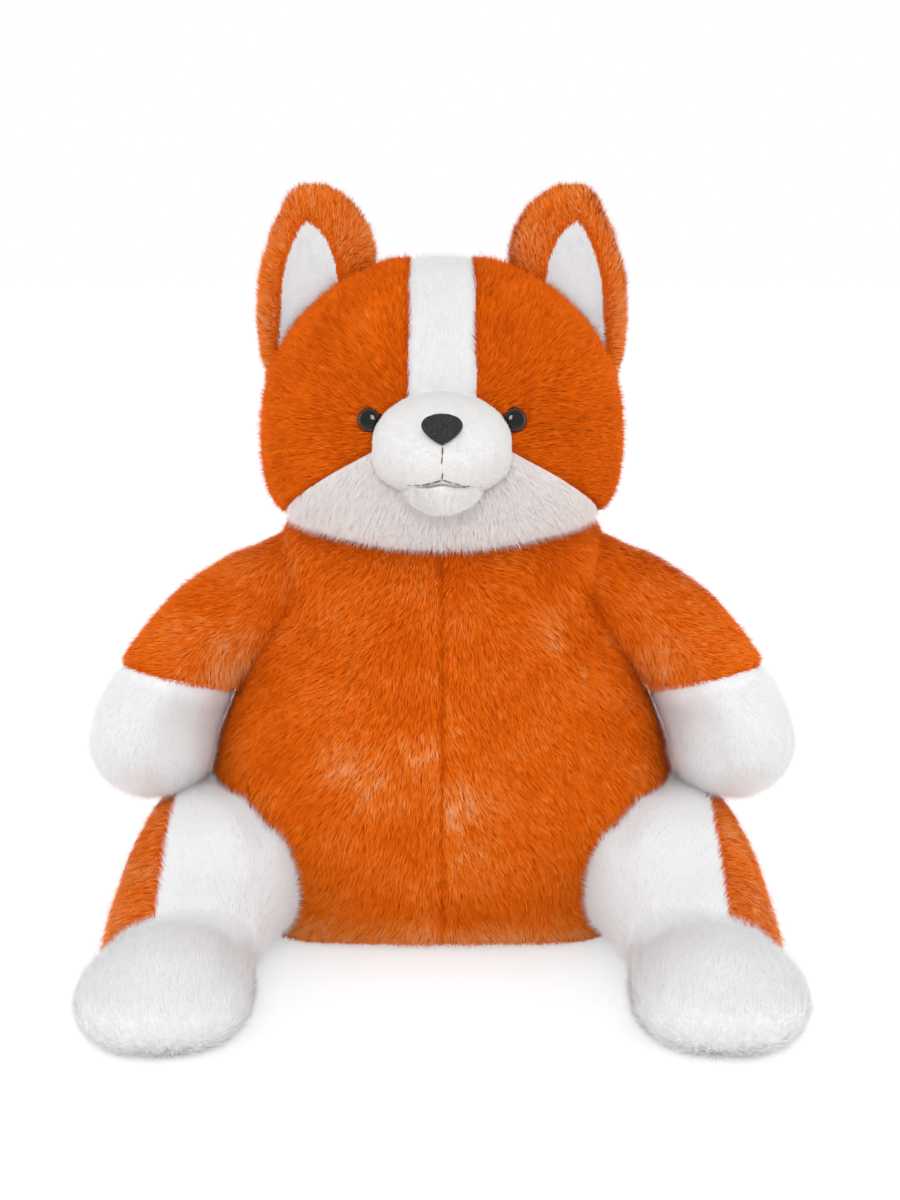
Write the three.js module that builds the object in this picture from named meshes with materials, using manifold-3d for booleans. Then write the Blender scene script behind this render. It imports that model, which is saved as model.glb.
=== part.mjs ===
// A seated plush corgi: sewn panels of pile fabric over stuffing, with locked-in eyes and nose.
// Millimetres, +Z up. The toy faces -Y and its own left is +X. The origin is the middle of its flat base.
import * as THREE from 'three';
import { mergeVertices } from 'three/addons/utils/BufferGeometryUtils.js';
import Module from 'manifold-3d';

const wasm = await Module();
wasm.setup();

// Fabric and fit
const FABRIC = 5; // thickness of the pile fabric, backing and lying pile together
const SHORT_PILE = 3; // thickness of the muzzle's fabric
const SEAM = 0.4; // gap between sewn neighbours

const SEATED_HEIGHT = 389; // floor to the tips of the ears

// Torso: half-widths by height, half-depths, and how square its plan is
const NECK_Z = 206;
const BASE_HALF = 98;
const BELLY_HALF = 124;
const BELLY_Z = 56;
const CHEST_HALF = 112;
const CHEST_Z = 125;
const SHOULDER_HALF = 84;
const SHOULDER_Z = 176;
const NECK_HALF = 66;
const BELLY_DEPTH = 84;
const NECK_DEPTH = 56;
const BELLY_FORWARD = 6;
const TORSO_SQUARENESS = 2.4;
const BASE_SQUARENESS = 3.4;
const BASE_PANEL_RISE = 10; // height of the seam round the base panel
const SIDE_SEAM_Y = 0;

// Head: sits on the neck seam, widest at the jowls
const HEAD_HALF = 94;
const HEAD_DEPTH = 76;
const JOWL_RISE = 58; // neck seam up to the widest level
const CROWN_RISE = 88; // widest level up to the crown
const NECK_SINK = 6; // how far the neck seam cuts into the head's round underside
const CROWN_SQUARENESS = 2.1;
const JOWL_SQUARENESS = 3.1;
const HEAD_PLAN_SQUARENESS = 2.2;
const BLAZE_HALF = 17;
const EAR_SEAM_TOP_Y = 22; // seam between face and back: place at the crown
const EAR_SEAM_NECK_Y = -15; // and at the neck
const CHIN_TIP = new THREE.Vector3(81, -28, 18); // cheek end of the chin panel, above the neck seam
const CHIN_CHEEK = new THREE.Vector3(56, -63, 41);
const CHIN_MUZZLE = new THREE.Vector3(34, -72, 54);

// Muzzle, lower lip, nose, mouth and eyes
const MUZZLE_HALF = 34.5;
const MUZZLE_RISE = 25.5;
const MUZZLE_LENGTH = 44; // half-axis from front to back
const MUZZLE_OUT = 46; // reach in front of the head
const MUZZLE_UP = 4; // above the widest level of the head
const LIP_HALF = 19;
const LIP_RISE = 10;
const LIP_LENGTH = 15;
const LIP_DOWN = 21; // below the muzzle's centre
const LIP_OUT = 19; // in front of the muzzle's centre
const NOSE_HALF = 10;
const NOSE_RISE = 15.5;
const NOSE_THICK = 6;
const NOSE_ROUND = 2.4;
const NOSE_WIDEST = 0.45; // height of its widest place, as a share of its half-height
const NOSE_FLANK = 0.78; // how full its flanks are
const NOSE_UP = 11; // centre of the nose above the muzzle's centre
const STITCH_R = 0.8;
const MOUTH_FORK_DOWN = 13.5; // below the muzzle's centre
const MOUTH_HALF = 17;
const MOUTH_END_DOWN = 17;
const EYE_R = 6.2;
const EYE_DOME = 5;
const EYE_SINK = 1.6; // how far the eye beds into the pile
const EYE_X = 35.5;
const EYE_UP = 14.5; // above the widest level of the head
const SHANK_R = 2;
const WASHER_R = 7;
const WASHER_THICK = 1.6;
const WASHER_PLAY = 0.4;

// Ears: upright rounded leaves let into the seam between face and back
const EAR_X = 67;
const EAR_Y = 6;
const EAR_HALF = 29.5;
const EAR_WIDEST_UP = 63; // above the widest level of the head
const EAR_RISE = SEATED_HEIGHT - NECK_Z - JOWL_RISE - EAR_WIDEST_UP; // from its widest level to the tip
const EAR_SQUARENESS = 2.9;
const EAR_THICK = 17;
const EAR_ROUND = 5;
const EAR_RIM = 20; // depth of the rim at the tip
const LINING_HALF = 20;
const LINING_OUT = 2.5; // lining set towards the outer edge
const LINING_RECESS = 2.5;
const LINING_FULL_OUT = 0.9; // how full its outer edge is near the tip
const LINING_FULL_IN = 0.5; // and its inner edge
const EAR_SWING = 20; // degrees either way
const SWING_SHARES = [-1, -0.5, 0, 0.5, 1]; // places of the fold that the ear is cleared for
const EAR_HINGE_SHARE = 0.8; // of the ear's half-width, out to the end of its hinge line

// Arms: sewn flat onto the sides of the torso
const ARM_LEVEL = 95; // height where the side of the torso meets the plane of the arm again
const ARM_R = 31;
const HAND_R = 31;
const HAND_SWELL = [0.55, 0.95]; // share of the arm over which it changes to the hand's radius
const ARM_ROOT_Y = -6;
const ARM_ROOT_DROP = 33; // neck seam down to the middle of the arm's root
const UPPER_ARM = new THREE.Vector3(26, -5, -8); // from the root along the arm
const FORE_ARM = new THREE.Vector3(45, -17, -28);
const WRIST = new THREE.Vector3(59, -28, -48);
const HAND = new THREE.Vector3(66, -37, -67);
const PAW_SEAM_UP = 30; // paw seam above the middle of the hand
const PAW_TILT = 9; // degrees, the paw seam lower towards the torso
const PAW_LEAN = 12; // degrees, and lower at the back

// Legs: on the floor, splayed forwards, with broad feet
const HIP_IN = 17; // middle of the hip inside the belly's half-width
const HIP_Y = -35;
const HIP_Z = 42.5;
const HIP_TO_KNEE = new THREE.Vector3(15, -53, -6.5);
const KNEE_TO_ANKLE = new THREE.Vector3(7, -48, -13);
const THIGH_HALF = 46;
const THIGH_RISE = 39.5;
const SHIN_HALF = 38;
const SHIN_RISE = 19;
const LEG_SQUARENESS = 2.8;
const LEG_TAPER = [0.1, 1]; // share of the leg over which it tapers
const HIP_ROUND = 30;
const FOOT_HALF = 43.5;
const FOOT_RISE = 25;
const FOOT_LENGTH = 47; // half-axis from heel to toe
const FOOT_FORWARD = 29; // middle of the foot in front of the ankle
const FOOT_OUT = 2;
const FOOT_TOP = 43;
const FOOT_SQUARENESS = 2.5;
const LEG_PANEL_OUT = 13; // seam of the orange panel, outside the knee
const SOLE_RISE = 22;
const LEG_LIFT = 30; // degrees
const LIFT_SHARES = [0, 0.35, 0.7, 1]; // places of the lift that the leg is cleared for
const LEG_AXIS_TURN = 18; // degrees from the X axis to the hinge line of the hip
const HIP_HINGE_FORWARD = 25; // hinge line in front of the middle of the hip

// Facets: around and along the outer forms, and the share kept on the hidden inner ones
const TORSO_FACETS = [26, 10];
const HEAD_FACETS = [26, 14];
const MUZZLE_FACETS = [16, 10];
const ARM_FACETS = [14, 6];
const LEG_FACETS = [14, 4];
const FOOT_FACETS = [18, 9];
const SIDE_POINTS = 80; // along the torso's side curve
const CAP_RINGS = 3;
const DOME_RINGS = 5;
const EAR_FACETS = 20;
const ROUND_FACETS = 12; // around eyes, shanks and washers
const INNER_SHARE = 0.6;
const REACH = 1200; // larger than the toy, for cutting planes

const HIP = new THREE.Vector3(BELLY_HALF - HIP_IN, HIP_Y, HIP_Z);
const KNEE = HIP.clone().add(HIP_TO_KNEE);
const ANKLE = KNEE.clone().add(KNEE_TO_ANKLE);

const X = new THREE.Vector3(1, 0, 0);
const Y = new THREE.Vector3(0, 1, 0);
const Z = new THREE.Vector3(0, 0, 1);
const OUTER = 1; // insets up to here are outer forms
const ROUND = 2; // squareness of a plain ellipse

const orangePile = new THREE.MeshStandardMaterial({ color: 0xd05c12, roughness: 0.95, metalness: 0 });
const whitePile = new THREE.MeshStandardMaterial({ color: 0xeeeeef, roughness: 0.95, metalness: 0 });
const whiteShortPile = new THREE.MeshStandardMaterial({ color: 0xf1f0ee, roughness: 0.9, metalness: 0 });
const fill = new THREE.MeshStandardMaterial({ color: 0xf4f2ec, roughness: 1, metalness: 0 });
const nosePlastic = new THREE.MeshStandardMaterial({ color: 0x303030, roughness: 0.55, metalness: 0 });
const eyePlastic = new THREE.MeshStandardMaterial({ color: 0x0d0b0a, roughness: 0.08, metalness: 0 });
const washerPlastic = new THREE.MeshStandardMaterial({ color: 0xe6e2d8, roughness: 0.5, metalness: 0 });
const thread = new THREE.MeshStandardMaterial({ color: 0x55504c, roughness: 0.8, metalness: 0 });

const toy = new THREE.Group();
toy.name = 'plush_corgi';

// Solids from geometry and back

function solidOf(geometry) {
  const bare = geometry.clone();
  bare.deleteAttribute('normal');
  bare.deleteAttribute('uv');
  const welded = mergeVertices(bare, 1e-4);
  const at = welded.attributes.position.array;
  const index = welded.index.array;
  const corners = [];
  let volume = 0;
  for (let i = 0; i < index.length; i += 3) {
    const [a, b, c] = index.slice(i, i + 3);
    if (a === b || b === c || c === a) continue;
    corners.push(a, b, c);
    const [p, q, r] = [a, b, c].map((k) => new THREE.Vector3().fromArray(at, 3 * k));
    volume += p.dot(q.cross(r));
  }
  if (volume < 0) corners.reverse();
  const mesh = new wasm.Mesh({
    numProp: 3,
    vertProperties: Float32Array.from(at),
    triVerts: Uint32Array.from(corners),
  });
  return new wasm.Manifold(mesh);
}

function geometryOf(solid) {
  const mesh = solid.getMesh();
  const geometry = new THREE.BufferGeometry();
  geometry.setAttribute('position', new THREE.BufferAttribute(Float32Array.from(mesh.vertProperties), 3));
  geometry.setIndex(new THREE.BufferAttribute(Uint32Array.from(mesh.triVerts), 1));
  geometry.computeVertexNormals();
  return geometry;
}

function cut(solid, ...tools) {
  return tools.reduce((rest, tool) => rest.subtract(tool), solid);
}

function keep(solid, ...regions) {
  return regions.reduce((rest, region) => rest.intersect(region), solid);
}

function piece(name, solid, material, parent = toy) {
  const mesh = new THREE.Mesh(geometryOf(solid), material);
  mesh.name = name;
  parent.add(mesh);
}

// Everything on one side of a plane, from half a seam past it
function beyond(point, normal, gap = SEAM / 2) {
  const way = normal.clone().normalize();
  const block = new THREE.BoxGeometry(REACH, REACH, REACH).translate(0, 0, REACH / 2 + gap);
  block.applyQuaternion(new THREE.Quaternion().setFromUnitVectors(Z, way));
  return solidOf(block.translate(point.x, point.y, point.z));
}

function away(vector) {
  return vector.clone().negate();
}

function mirrored(vector) {
  return new THREE.Vector3(-vector.x, vector.y, vector.z);
}

// A solid's left half, a little past the middle, and its mirror image: both sides alike to the facet
function bothSides(solid) {
  const half = keep(solid, beyond(new THREE.Vector3(), X, -SEAM / 2));
  return half.add(half.mirror(X.toArray()));
}

function turned(geometry, pivot, axis, degrees) {
  const turn = new THREE.Matrix4().makeRotationAxis(axis, THREE.MathUtils.degToRad(degrees));
  const from = new THREE.Matrix4().makeTranslation(-pivot.x, -pivot.y, -pivot.z);
  const back = new THREE.Matrix4().makeTranslation(pivot.x, pivot.y, pivot.z);
  return geometry.clone().applyMatrix4(back.multiply(turn).multiply(from));
}

// Soft forms

function reshape(geometry, move) {
  const at = geometry.attributes.position;
  const point = new THREE.Vector3();
  for (let i = 0; i < at.count; i += 1) {
    move(point.fromBufferAttribute(at, i));
    at.setXYZ(i, point.x, point.y, point.z);
  }
  return geometry;
}

function facets([around, along], inset) {
  const share = inset > OUTER ? INNER_SHARE : 1;
  return [Math.round(around * share), Math.round(along * share)];
}

// Pushes a point of the unit circle out to a squarer round
function squareUp(point, squareness) {
  const reach = Math.abs(point.x) ** squareness + Math.abs(point.y) ** squareness;
  if (reach > 0) {
    const size = Math.hypot(point.x, point.y) / reach ** (1 / squareness);
    point.x *= size;
    point.y *= size;
  }
}

const torsoSide = new THREE.CatmullRomCurve3([
  new THREE.Vector3(BASE_HALF, 0, 0),
  new THREE.Vector3(BELLY_HALF, 0, BELLY_Z),
  new THREE.Vector3(CHEST_HALF, 0, CHEST_Z),
  new THREE.Vector3(SHOULDER_HALF, 0, SHOULDER_Z),
  new THREE.Vector3(NECK_HALF, 0, NECK_Z),
]).getPoints(SIDE_POINTS);

function torsoHalf(height) {
  const next = torsoSide.findIndex((point) => point.z >= height);
  if (next < 0) return NECK_HALF;
  const upper = torsoSide[Math.max(next, 1)];
  const lower = torsoSide[Math.max(next, 1) - 1];
  return THREE.MathUtils.mapLinear(height, lower.z, upper.z, lower.x, upper.x);
}

// The flat on the side of the torso that the arm is sewn to, seen from the front
const armTop = new THREE.Vector3(torsoHalf(SHOULDER_Z), 0, SHOULDER_Z);
const armLow = new THREE.Vector3(torsoHalf(ARM_LEVEL), 0, ARM_LEVEL);
const armNormal = new THREE.Vector3(armTop.z - armLow.z, 0, armLow.x - armTop.x).normalize();

function torsoGeometry(inset) {
  const [around, along] = facets(TORSO_FACETS, inset);
  const profile = [new THREE.Vector2(0, inset)];
  for (let i = 0; i <= along; i += 1) {
    profile.push(new THREE.Vector2(1, THREE.MathUtils.lerp(inset, NECK_Z - inset, i / along)));
  }
  profile.push(new THREE.Vector2(0, NECK_Z - inset));
  const lathe = new THREE.LatheGeometry(profile, around).rotateX(Math.PI / 2);
  return reshape(lathe, (point) => {
    const half = torsoHalf(point.z);
    const rise = THREE.MathUtils.clamp((half - NECK_HALF) / (BELLY_HALF - NECK_HALF), 0, 1);
    const depth = half * THREE.MathUtils.lerp(NECK_DEPTH / NECK_HALF, BELLY_DEPTH / BELLY_HALF, rise);
    const upwards = THREE.MathUtils.smoothstep(point.z, 0, CHEST_Z);
    squareUp(point, THREE.MathUtils.lerp(BASE_SQUARENESS, TORSO_SQUARENESS, upwards));
    point.x *= half - inset;
    point.y = point.y * (depth - inset) - BELLY_FORWARD * Math.sin((Math.PI * point.z) / NECK_Z);
  });
}

function torsoForm(inset) {
  return bothSides(cut(solidOf(torsoGeometry(inset)), beyond(armTop, armNormal, -inset)));
}

const HEAD_Z = NECK_Z + JOWL_RISE;
const HEAD_FLOOR = NECK_Z + SEAM;

function headGeometry(inset) {
  const [around, along] = facets(HEAD_FACETS, inset);
  const ball = new THREE.SphereGeometry(1, around, along).rotateX(Math.PI / 2);
  return reshape(ball, (point) => {
    const squareness = point.z > 0 ? CROWN_SQUARENESS : JOWL_SQUARENESS;
    const plan = HEAD_PLAN_SQUARENESS;
    const flat = (Math.abs(point.x) ** plan + Math.abs(point.y) ** plan) ** (1 / plan);
    const size = (flat ** squareness + Math.abs(point.z) ** squareness) ** (-1 / squareness);
    const rise = point.z > 0 ? CROWN_RISE : JOWL_RISE + NECK_SINK;
    point.x *= size * (HEAD_HALF - inset);
    point.y *= size * (HEAD_DEPTH - inset);
    point.z = HEAD_Z + point.z * size * (rise - inset);
  });
}

function headForm(inset) {
  return bothSides(keep(solidOf(headGeometry(inset)), beyond(new THREE.Vector3(0, 0, HEAD_FLOOR), Z, inset)));
}

// A point of the head's front, and the way its surface faces there
function faceAt(x, up) {
  const squareness = up > 0 ? CROWN_SQUARENESS : JOWL_SQUARENESS;
  const rise = up > 0 ? CROWN_RISE : JOWL_RISE + NECK_SINK;
  const level = (1 - (Math.abs(up) / rise) ** squareness) ** (HEAD_PLAN_SQUARENESS / squareness);
  const depth = (level - (Math.abs(x) / HEAD_HALF) ** HEAD_PLAN_SQUARENESS) ** (1 / HEAD_PLAN_SQUARENESS);
  return new THREE.Vector3(x, -HEAD_DEPTH * depth, HEAD_Z + up);
}

function faceNormal(x, up) {
  const across = faceAt(x + 1, up).sub(faceAt(x - 1, up));
  const upwards = faceAt(x, up + 1).sub(faceAt(x, up - 1));
  return across.cross(upwards).normalize();
}

const muzzleCentre = new THREE.Vector3(0, MUZZLE_LENGTH - MUZZLE_OUT - HEAD_DEPTH, HEAD_Z + MUZZLE_UP);

function ball(half, length, rise, centre, inset) {
  const [around, along] = facets(MUZZLE_FACETS, inset);
  const sphere = new THREE.SphereGeometry(1, around, along).rotateX(Math.PI / 2);
  sphere.scale(half - inset, length - inset, rise - inset);
  return solidOf(sphere.translate(centre.x, centre.y, centre.z));
}

function muzzleForm(inset) {
  return ball(MUZZLE_HALF, MUZZLE_LENGTH, MUZZLE_RISE, muzzleCentre, inset);
}

// A point of the muzzle's front, lifted off it
function muzzleAt(x, up, lift) {
  const depth = Math.sqrt(1 - (x / MUZZLE_HALF) ** 2 - (up / MUZZLE_RISE) ** 2);
  const point = new THREE.Vector3(x, -MUZZLE_LENGTH * depth, up);
  const normal = new THREE.Vector3(
    point.x / MUZZLE_HALF ** 2,
    point.y / MUZZLE_LENGTH ** 2,
    point.z / MUZZLE_RISE ** 2,
  ).normalize();
  return { point: point.addScaledVector(normal, lift).add(muzzleCentre), normal };
}

// A round form along a curve: [half-width, half-height] by its share of the way, with round ends
function limbGeometry(curve, upright, sizeAt, squareness, ends, shape, inset) {
  const [around, along] = facets(shape, inset);
  const length = curve.getLength();
  const rings = [];
  for (let i = 0; i < CAP_RINGS; i += 1) {
    const lift = (Math.PI / 2) * (i / CAP_RINGS);
    rings.push([-(ends[0] - inset) * Math.cos(lift), Math.sin(lift)]);
  }
  for (let i = 0; i <= along; i += 1) {
    rings.push([(length * i) / along, 1]);
  }
  for (let i = CAP_RINGS - 1; i >= 0; i -= 1) {
    const lift = (Math.PI / 2) * (i / CAP_RINGS);
    rings.push([length + (ends[1] - inset) * Math.cos(lift), Math.sin(lift)]);
  }
  const profile = rings.map(([place, size]) => new THREE.Vector2(size, place));
  const lathe = new THREE.LatheGeometry(profile, around).rotateX(Math.PI / 2);
  return reshape(lathe, (point) => {
    const share = THREE.MathUtils.clamp(point.z / length, 0, 1);
    const way = curve.getTangentAt(share);
    const centre = curve.getPointAt(share).addScaledVector(way, point.z - share * length);
    const across = way.clone().cross(upright).normalize();
    const rise = across.clone().cross(way);
    const [half, height] = sizeAt(share);
    squareUp(point, squareness);
    centre.addScaledVector(across, point.x * (half - inset));
    centre.addScaledVector(rise, point.y * (height - inset));
    point.copy(centre);
  });
}

// Torso

function makeTorso() {
  const skin = cut(torsoForm(0), torsoForm(FABRIC));
  const baseSeam = new THREE.Vector3(0, 0, BASE_PANEL_RISE);
  const sideSeam = new THREE.Vector3(0, SIDE_SEAM_Y, 0);
  const centre = new THREE.Vector3();
  const wall = keep(skin, beyond(baseSeam, Z));
  const front = keep(wall, beyond(sideSeam, away(Y)));
  const back = keep(wall, beyond(sideSeam, Y));
  piece('torso_front_left', keep(front, beyond(centre, X)), orangePile);
  piece('torso_front_right', keep(front, beyond(centre, away(X))), orangePile);
  piece('torso_back_left', keep(back, beyond(centre, X)), orangePile);
  piece('torso_back_right', keep(back, beyond(centre, away(X))), orangePile);
  piece('torso_base', keep(skin, beyond(baseSeam, away(Z))), orangePile);
  piece('torso_stuffing', torsoForm(FABRIC + SEAM), fill);
}

// Eyes and nose on shanks, each with a lock washer behind the fabric

function turnedPart(profile, seat, normal) {
  const points = profile.map(([r, along]) => new THREE.Vector2(r, along));
  const part = new THREE.LatheGeometry(points, ROUND_FACETS).rotateX(Math.PI / 2);
  part.applyQuaternion(new THREE.Quaternion().setFromUnitVectors(Z, normal));
  return solidOf(part.translate(seat.x, seat.y, seat.z));
}

function shankEnd(wall) {
  return -(wall + 2 * WASHER_THICK + 2 * WASHER_PLAY);
}

function eyeSolid(seat, normal, room) {
  const end = shankEnd(FABRIC) - room;
  const profile = [[0, end], [SHANK_R + room, end], [SHANK_R + room, -EYE_SINK - room]];
  profile.push([EYE_R + room, -EYE_SINK - room]);
  for (let i = 0; i < DOME_RINGS; i += 1) {
    const lift = (Math.PI / 2) * (i / DOME_RINGS);
    profile.push([(EYE_R + room) * Math.cos(lift), (EYE_DOME + room) * Math.sin(lift) - EYE_SINK]);
  }
  profile.push([0, EYE_DOME + room - EYE_SINK]);
  return turnedPart(profile, seat, normal);
}

function washerSolid(seat, normal, wall, room) {
  const front = -(wall + WASHER_PLAY) + room;
  const back = -(wall + WASHER_PLAY + WASHER_THICK) - room;
  const bore = SHANK_R + WASHER_PLAY - room;
  const ring = [[bore, back], [WASHER_R + room, back], [WASHER_R + room, front], [bore, front], [bore, back]];
  return turnedPart(ring, seat, normal);
}

// The room that a shank and its washer take out of the fabric and the stuffing
function shankRoom(seat, normal, wall) {
  const end = shankEnd(wall) - SEAM;
  const back = -(wall + WASHER_PLAY + WASHER_THICK) - SEAM;
  const front = -(wall + WASHER_PLAY) + SEAM;
  const shank = SHANK_R + SEAM;
  const disc = WASHER_R + SEAM;
  const profile = [[0, end], [shank, end], [shank, back], [disc, back], [disc, front], [shank, front]];
  profile.push([shank, EYE_DOME], [0, EYE_DOME]);
  return turnedPart(profile, seat, normal);
}

// The nose: a rounded triangle with a domed face, point down
function noseSolid(seat, normal, room) {
  const half = NOSE_HALF - NOSE_ROUND;
  const top = NOSE_RISE / 2 - NOSE_ROUND;
  const wide = top * NOSE_WIDEST;
  const flank = half * NOSE_FLANK;
  const shape = new THREE.Shape();
  shape.moveTo(0, top);
  shape.quadraticCurveTo(half, top, half, wide);
  shape.quadraticCurveTo(flank, wide - top * NOSE_FLANK, 0, -top);
  shape.quadraticCurveTo(-flank, wide - top * NOSE_FLANK, -half, wide);
  shape.quadraticCurveTo(-half, top, 0, top);
  const body = new THREE.ExtrudeGeometry(shape, {
    depth: NOSE_THICK - 2 * NOSE_ROUND + 2 * room,
    bevelThickness: NOSE_ROUND,
    bevelSize: NOSE_ROUND + room,
    bevelSegments: 2,
    curveSegments: 4,
  });
  body.translate(0, 0, NOSE_ROUND - EYE_SINK - room);
  const across = new THREE.Vector3().crossVectors(Z, normal).normalize();
  const upwards = new THREE.Vector3().crossVectors(normal, across);
  body.applyMatrix4(new THREE.Matrix4().makeBasis(across, upwards, normal).setPosition(seat));
  const end = shankEnd(SHORT_PILE) - room;
  const shank = [[0, end], [SHANK_R + room, end], [SHANK_R + room, NOSE_ROUND], [0, NOSE_ROUND]];
  return solidOf(body).add(turnedPart(shank, seat, normal));
}

// Head, with the chin panel below a plane on each side and the blaze between the faces

function makeHead() {
  const skin = cut(headForm(0), headForm(FABRIC));
  const middle = new THREE.Vector3();
  const leftHalf = beyond(middle, X, 0);
  const rightHalf = beyond(middle, away(X), 0);
  const tip = CHIN_TIP.clone().setZ(NECK_Z + CHIN_TIP.z);
  const cheek = CHIN_CHEEK.clone().setZ(NECK_Z + CHIN_CHEEK.z);
  const inner = CHIN_MUZZLE.clone().setZ(NECK_Z + CHIN_MUZZLE.z);
  const chinWay = cheek.sub(tip).cross(inner.sub(tip)).normalize();
  const chinLeft = beyond(tip, chinWay);
  const chinRight = beyond(mirrored(tip), mirrored(chinWay));
  const seamTop = new THREE.Vector3(0, EAR_SEAM_TOP_Y, HEAD_Z + CROWN_RISE);
  const seamNeck = new THREE.Vector3(0, EAR_SEAM_NECK_Y, NECK_Z);
  const backWay = X.clone().cross(seamTop.clone().sub(seamNeck)).negate().normalize();
  const front = keep(skin, beyond(seamTop, away(backWay)));
  const back = keep(skin, beyond(seamTop, backWay));
  const chin = keep(front, chinLeft, leftHalf).add(keep(front, chinRight, rightHalf));
  const aboveLeft = beyond(tip, away(chinWay));
  const aboveRight = beyond(mirrored(tip), away(mirrored(chinWay)));
  const above = keep(front, aboveLeft, leftHalf).add(keep(front, aboveRight, rightHalf));
  const blazeLeft = new THREE.Vector3(BLAZE_HALF, 0, 0);
  const blazeRight = mirrored(blazeLeft);

  const eyeSeat = faceAt(EYE_X, EYE_UP);
  const eyeWay = faceNormal(EYE_X, EYE_UP);
  const eyeRoom = [];
  for (const [seat, way] of [[eyeSeat, eyeWay], [mirrored(eyeSeat), mirrored(eyeWay)]]) {
    eyeRoom.push(eyeSolid(seat, way, SEAM), shankRoom(seat, way, FABRIC));
  }
  piece('face_left', cut(keep(above, beyond(blazeLeft, X)), ...eyeRoom), orangePile);
  piece('face_right', cut(keep(above, beyond(blazeRight, away(X))), ...eyeRoom), orangePile);
  piece('blaze', keep(above, beyond(blazeLeft, away(X)), beyond(blazeRight, X)), whitePile);
  piece('head_back_left', keep(back, beyond(middle, X)), orangePile);
  piece('head_back_right', keep(back, beyond(middle, away(X))), orangePile);
  piece('chin_panel', chin, whitePile);
  piece('head_stuffing', cut(headForm(FABRIC + SEAM), ...eyeRoom), fill);

  const headSpace = headForm(-SEAM);
  const nose = muzzleAt(0, NOSE_UP, 0);
  const noseRoom = [noseSolid(nose.point, nose.normal, SEAM), shankRoom(nose.point, nose.normal, SHORT_PILE)];
  const cover = cut(muzzleForm(0), muzzleForm(SHORT_PILE), headSpace, ...noseRoom, ...eyeRoom);
  piece('muzzle_cover', cover, whiteShortPile);
  piece('muzzle_stuffing', cut(muzzleForm(SHORT_PILE + SEAM), headSpace, ...noseRoom, ...eyeRoom), fill);
  const lipCentre = new THREE.Vector3(0, muzzleCentre.y - LIP_OUT, muzzleCentre.z - LIP_DOWN);
  const lip = ball(LIP_HALF, LIP_LENGTH, LIP_RISE, lipCentre, 0);
  piece('lower_lip', cut(lip, muzzleForm(-SEAM), headSpace), whiteShortPile);
  piece('nose', noseSolid(nose.point, nose.normal, 0), nosePlastic);
  piece('nose_washer', washerSolid(nose.point, nose.normal, SHORT_PILE, 0), washerPlastic);

  for (const [side, seat, way] of [['left', eyeSeat, eyeWay], ['right', mirrored(eyeSeat), mirrored(eyeWay)]]) {
    piece(`eye_${side}`, eyeSolid(seat, way, 0), eyePlastic);
    piece(`eye_washer_${side}`, washerSolid(seat, way, FABRIC, 0), washerPlastic);
  }
  makeMouth(nose.point);
}

// The mouth: a stitched line down from the nose that forks to both sides
function makeMouth(nosePoint) {
  const lift = STITCH_R + SEAM;
  const start = nosePoint.z - muzzleCentre.z - NOSE_RISE / 2 - STITCH_R;
  const rows = [[[0, start], [0, (start - MOUTH_FORK_DOWN) / 2], [0, -MOUTH_FORK_DOWN]]];
  for (const way of [-1, 1]) {
    const halfway = [(way * MOUTH_HALF) / 2, -(MOUTH_FORK_DOWN + MOUTH_END_DOWN) / 2];
    rows.push([[0, -MOUTH_FORK_DOWN], halfway, [way * MOUTH_HALF, -MOUTH_END_DOWN]]);
  }
  const section = new THREE.Shape().absarc(0, 0, STITCH_R, 0, 2 * Math.PI);
  const lines = rows.map((row) => {
    const path = new THREE.CatmullRomCurve3(row.map(([x, up]) => muzzleAt(x, up, lift).point));
    return solidOf(new THREE.ExtrudeGeometry(section, { steps: 5, curveSegments: 3, extrudePath: path }));
  });
  const clear = [muzzleForm(-SEAM / 2), noseSolid(nosePoint, muzzleAt(0, NOSE_UP, 0).normal, SEAM / 2)];
  piece('mouth_stitch', cut(lines[0].add(lines[1]).add(lines[2]), ...clear), thread);
}

// Ears

function leafGeometry(shape, thick, round, front) {
  const leaf = new THREE.ExtrudeGeometry(shape, {
    depth: thick - 2 * round,
    bevelEnabled: round > 0,
    bevelThickness: round,
    bevelSize: round,
    bevelOffset: -round,
    bevelSegments: 2,
    curveSegments: 6,
  });
  return leaf.rotateX(Math.PI / 2).translate(0, front + thick - round, 0);
}

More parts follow.
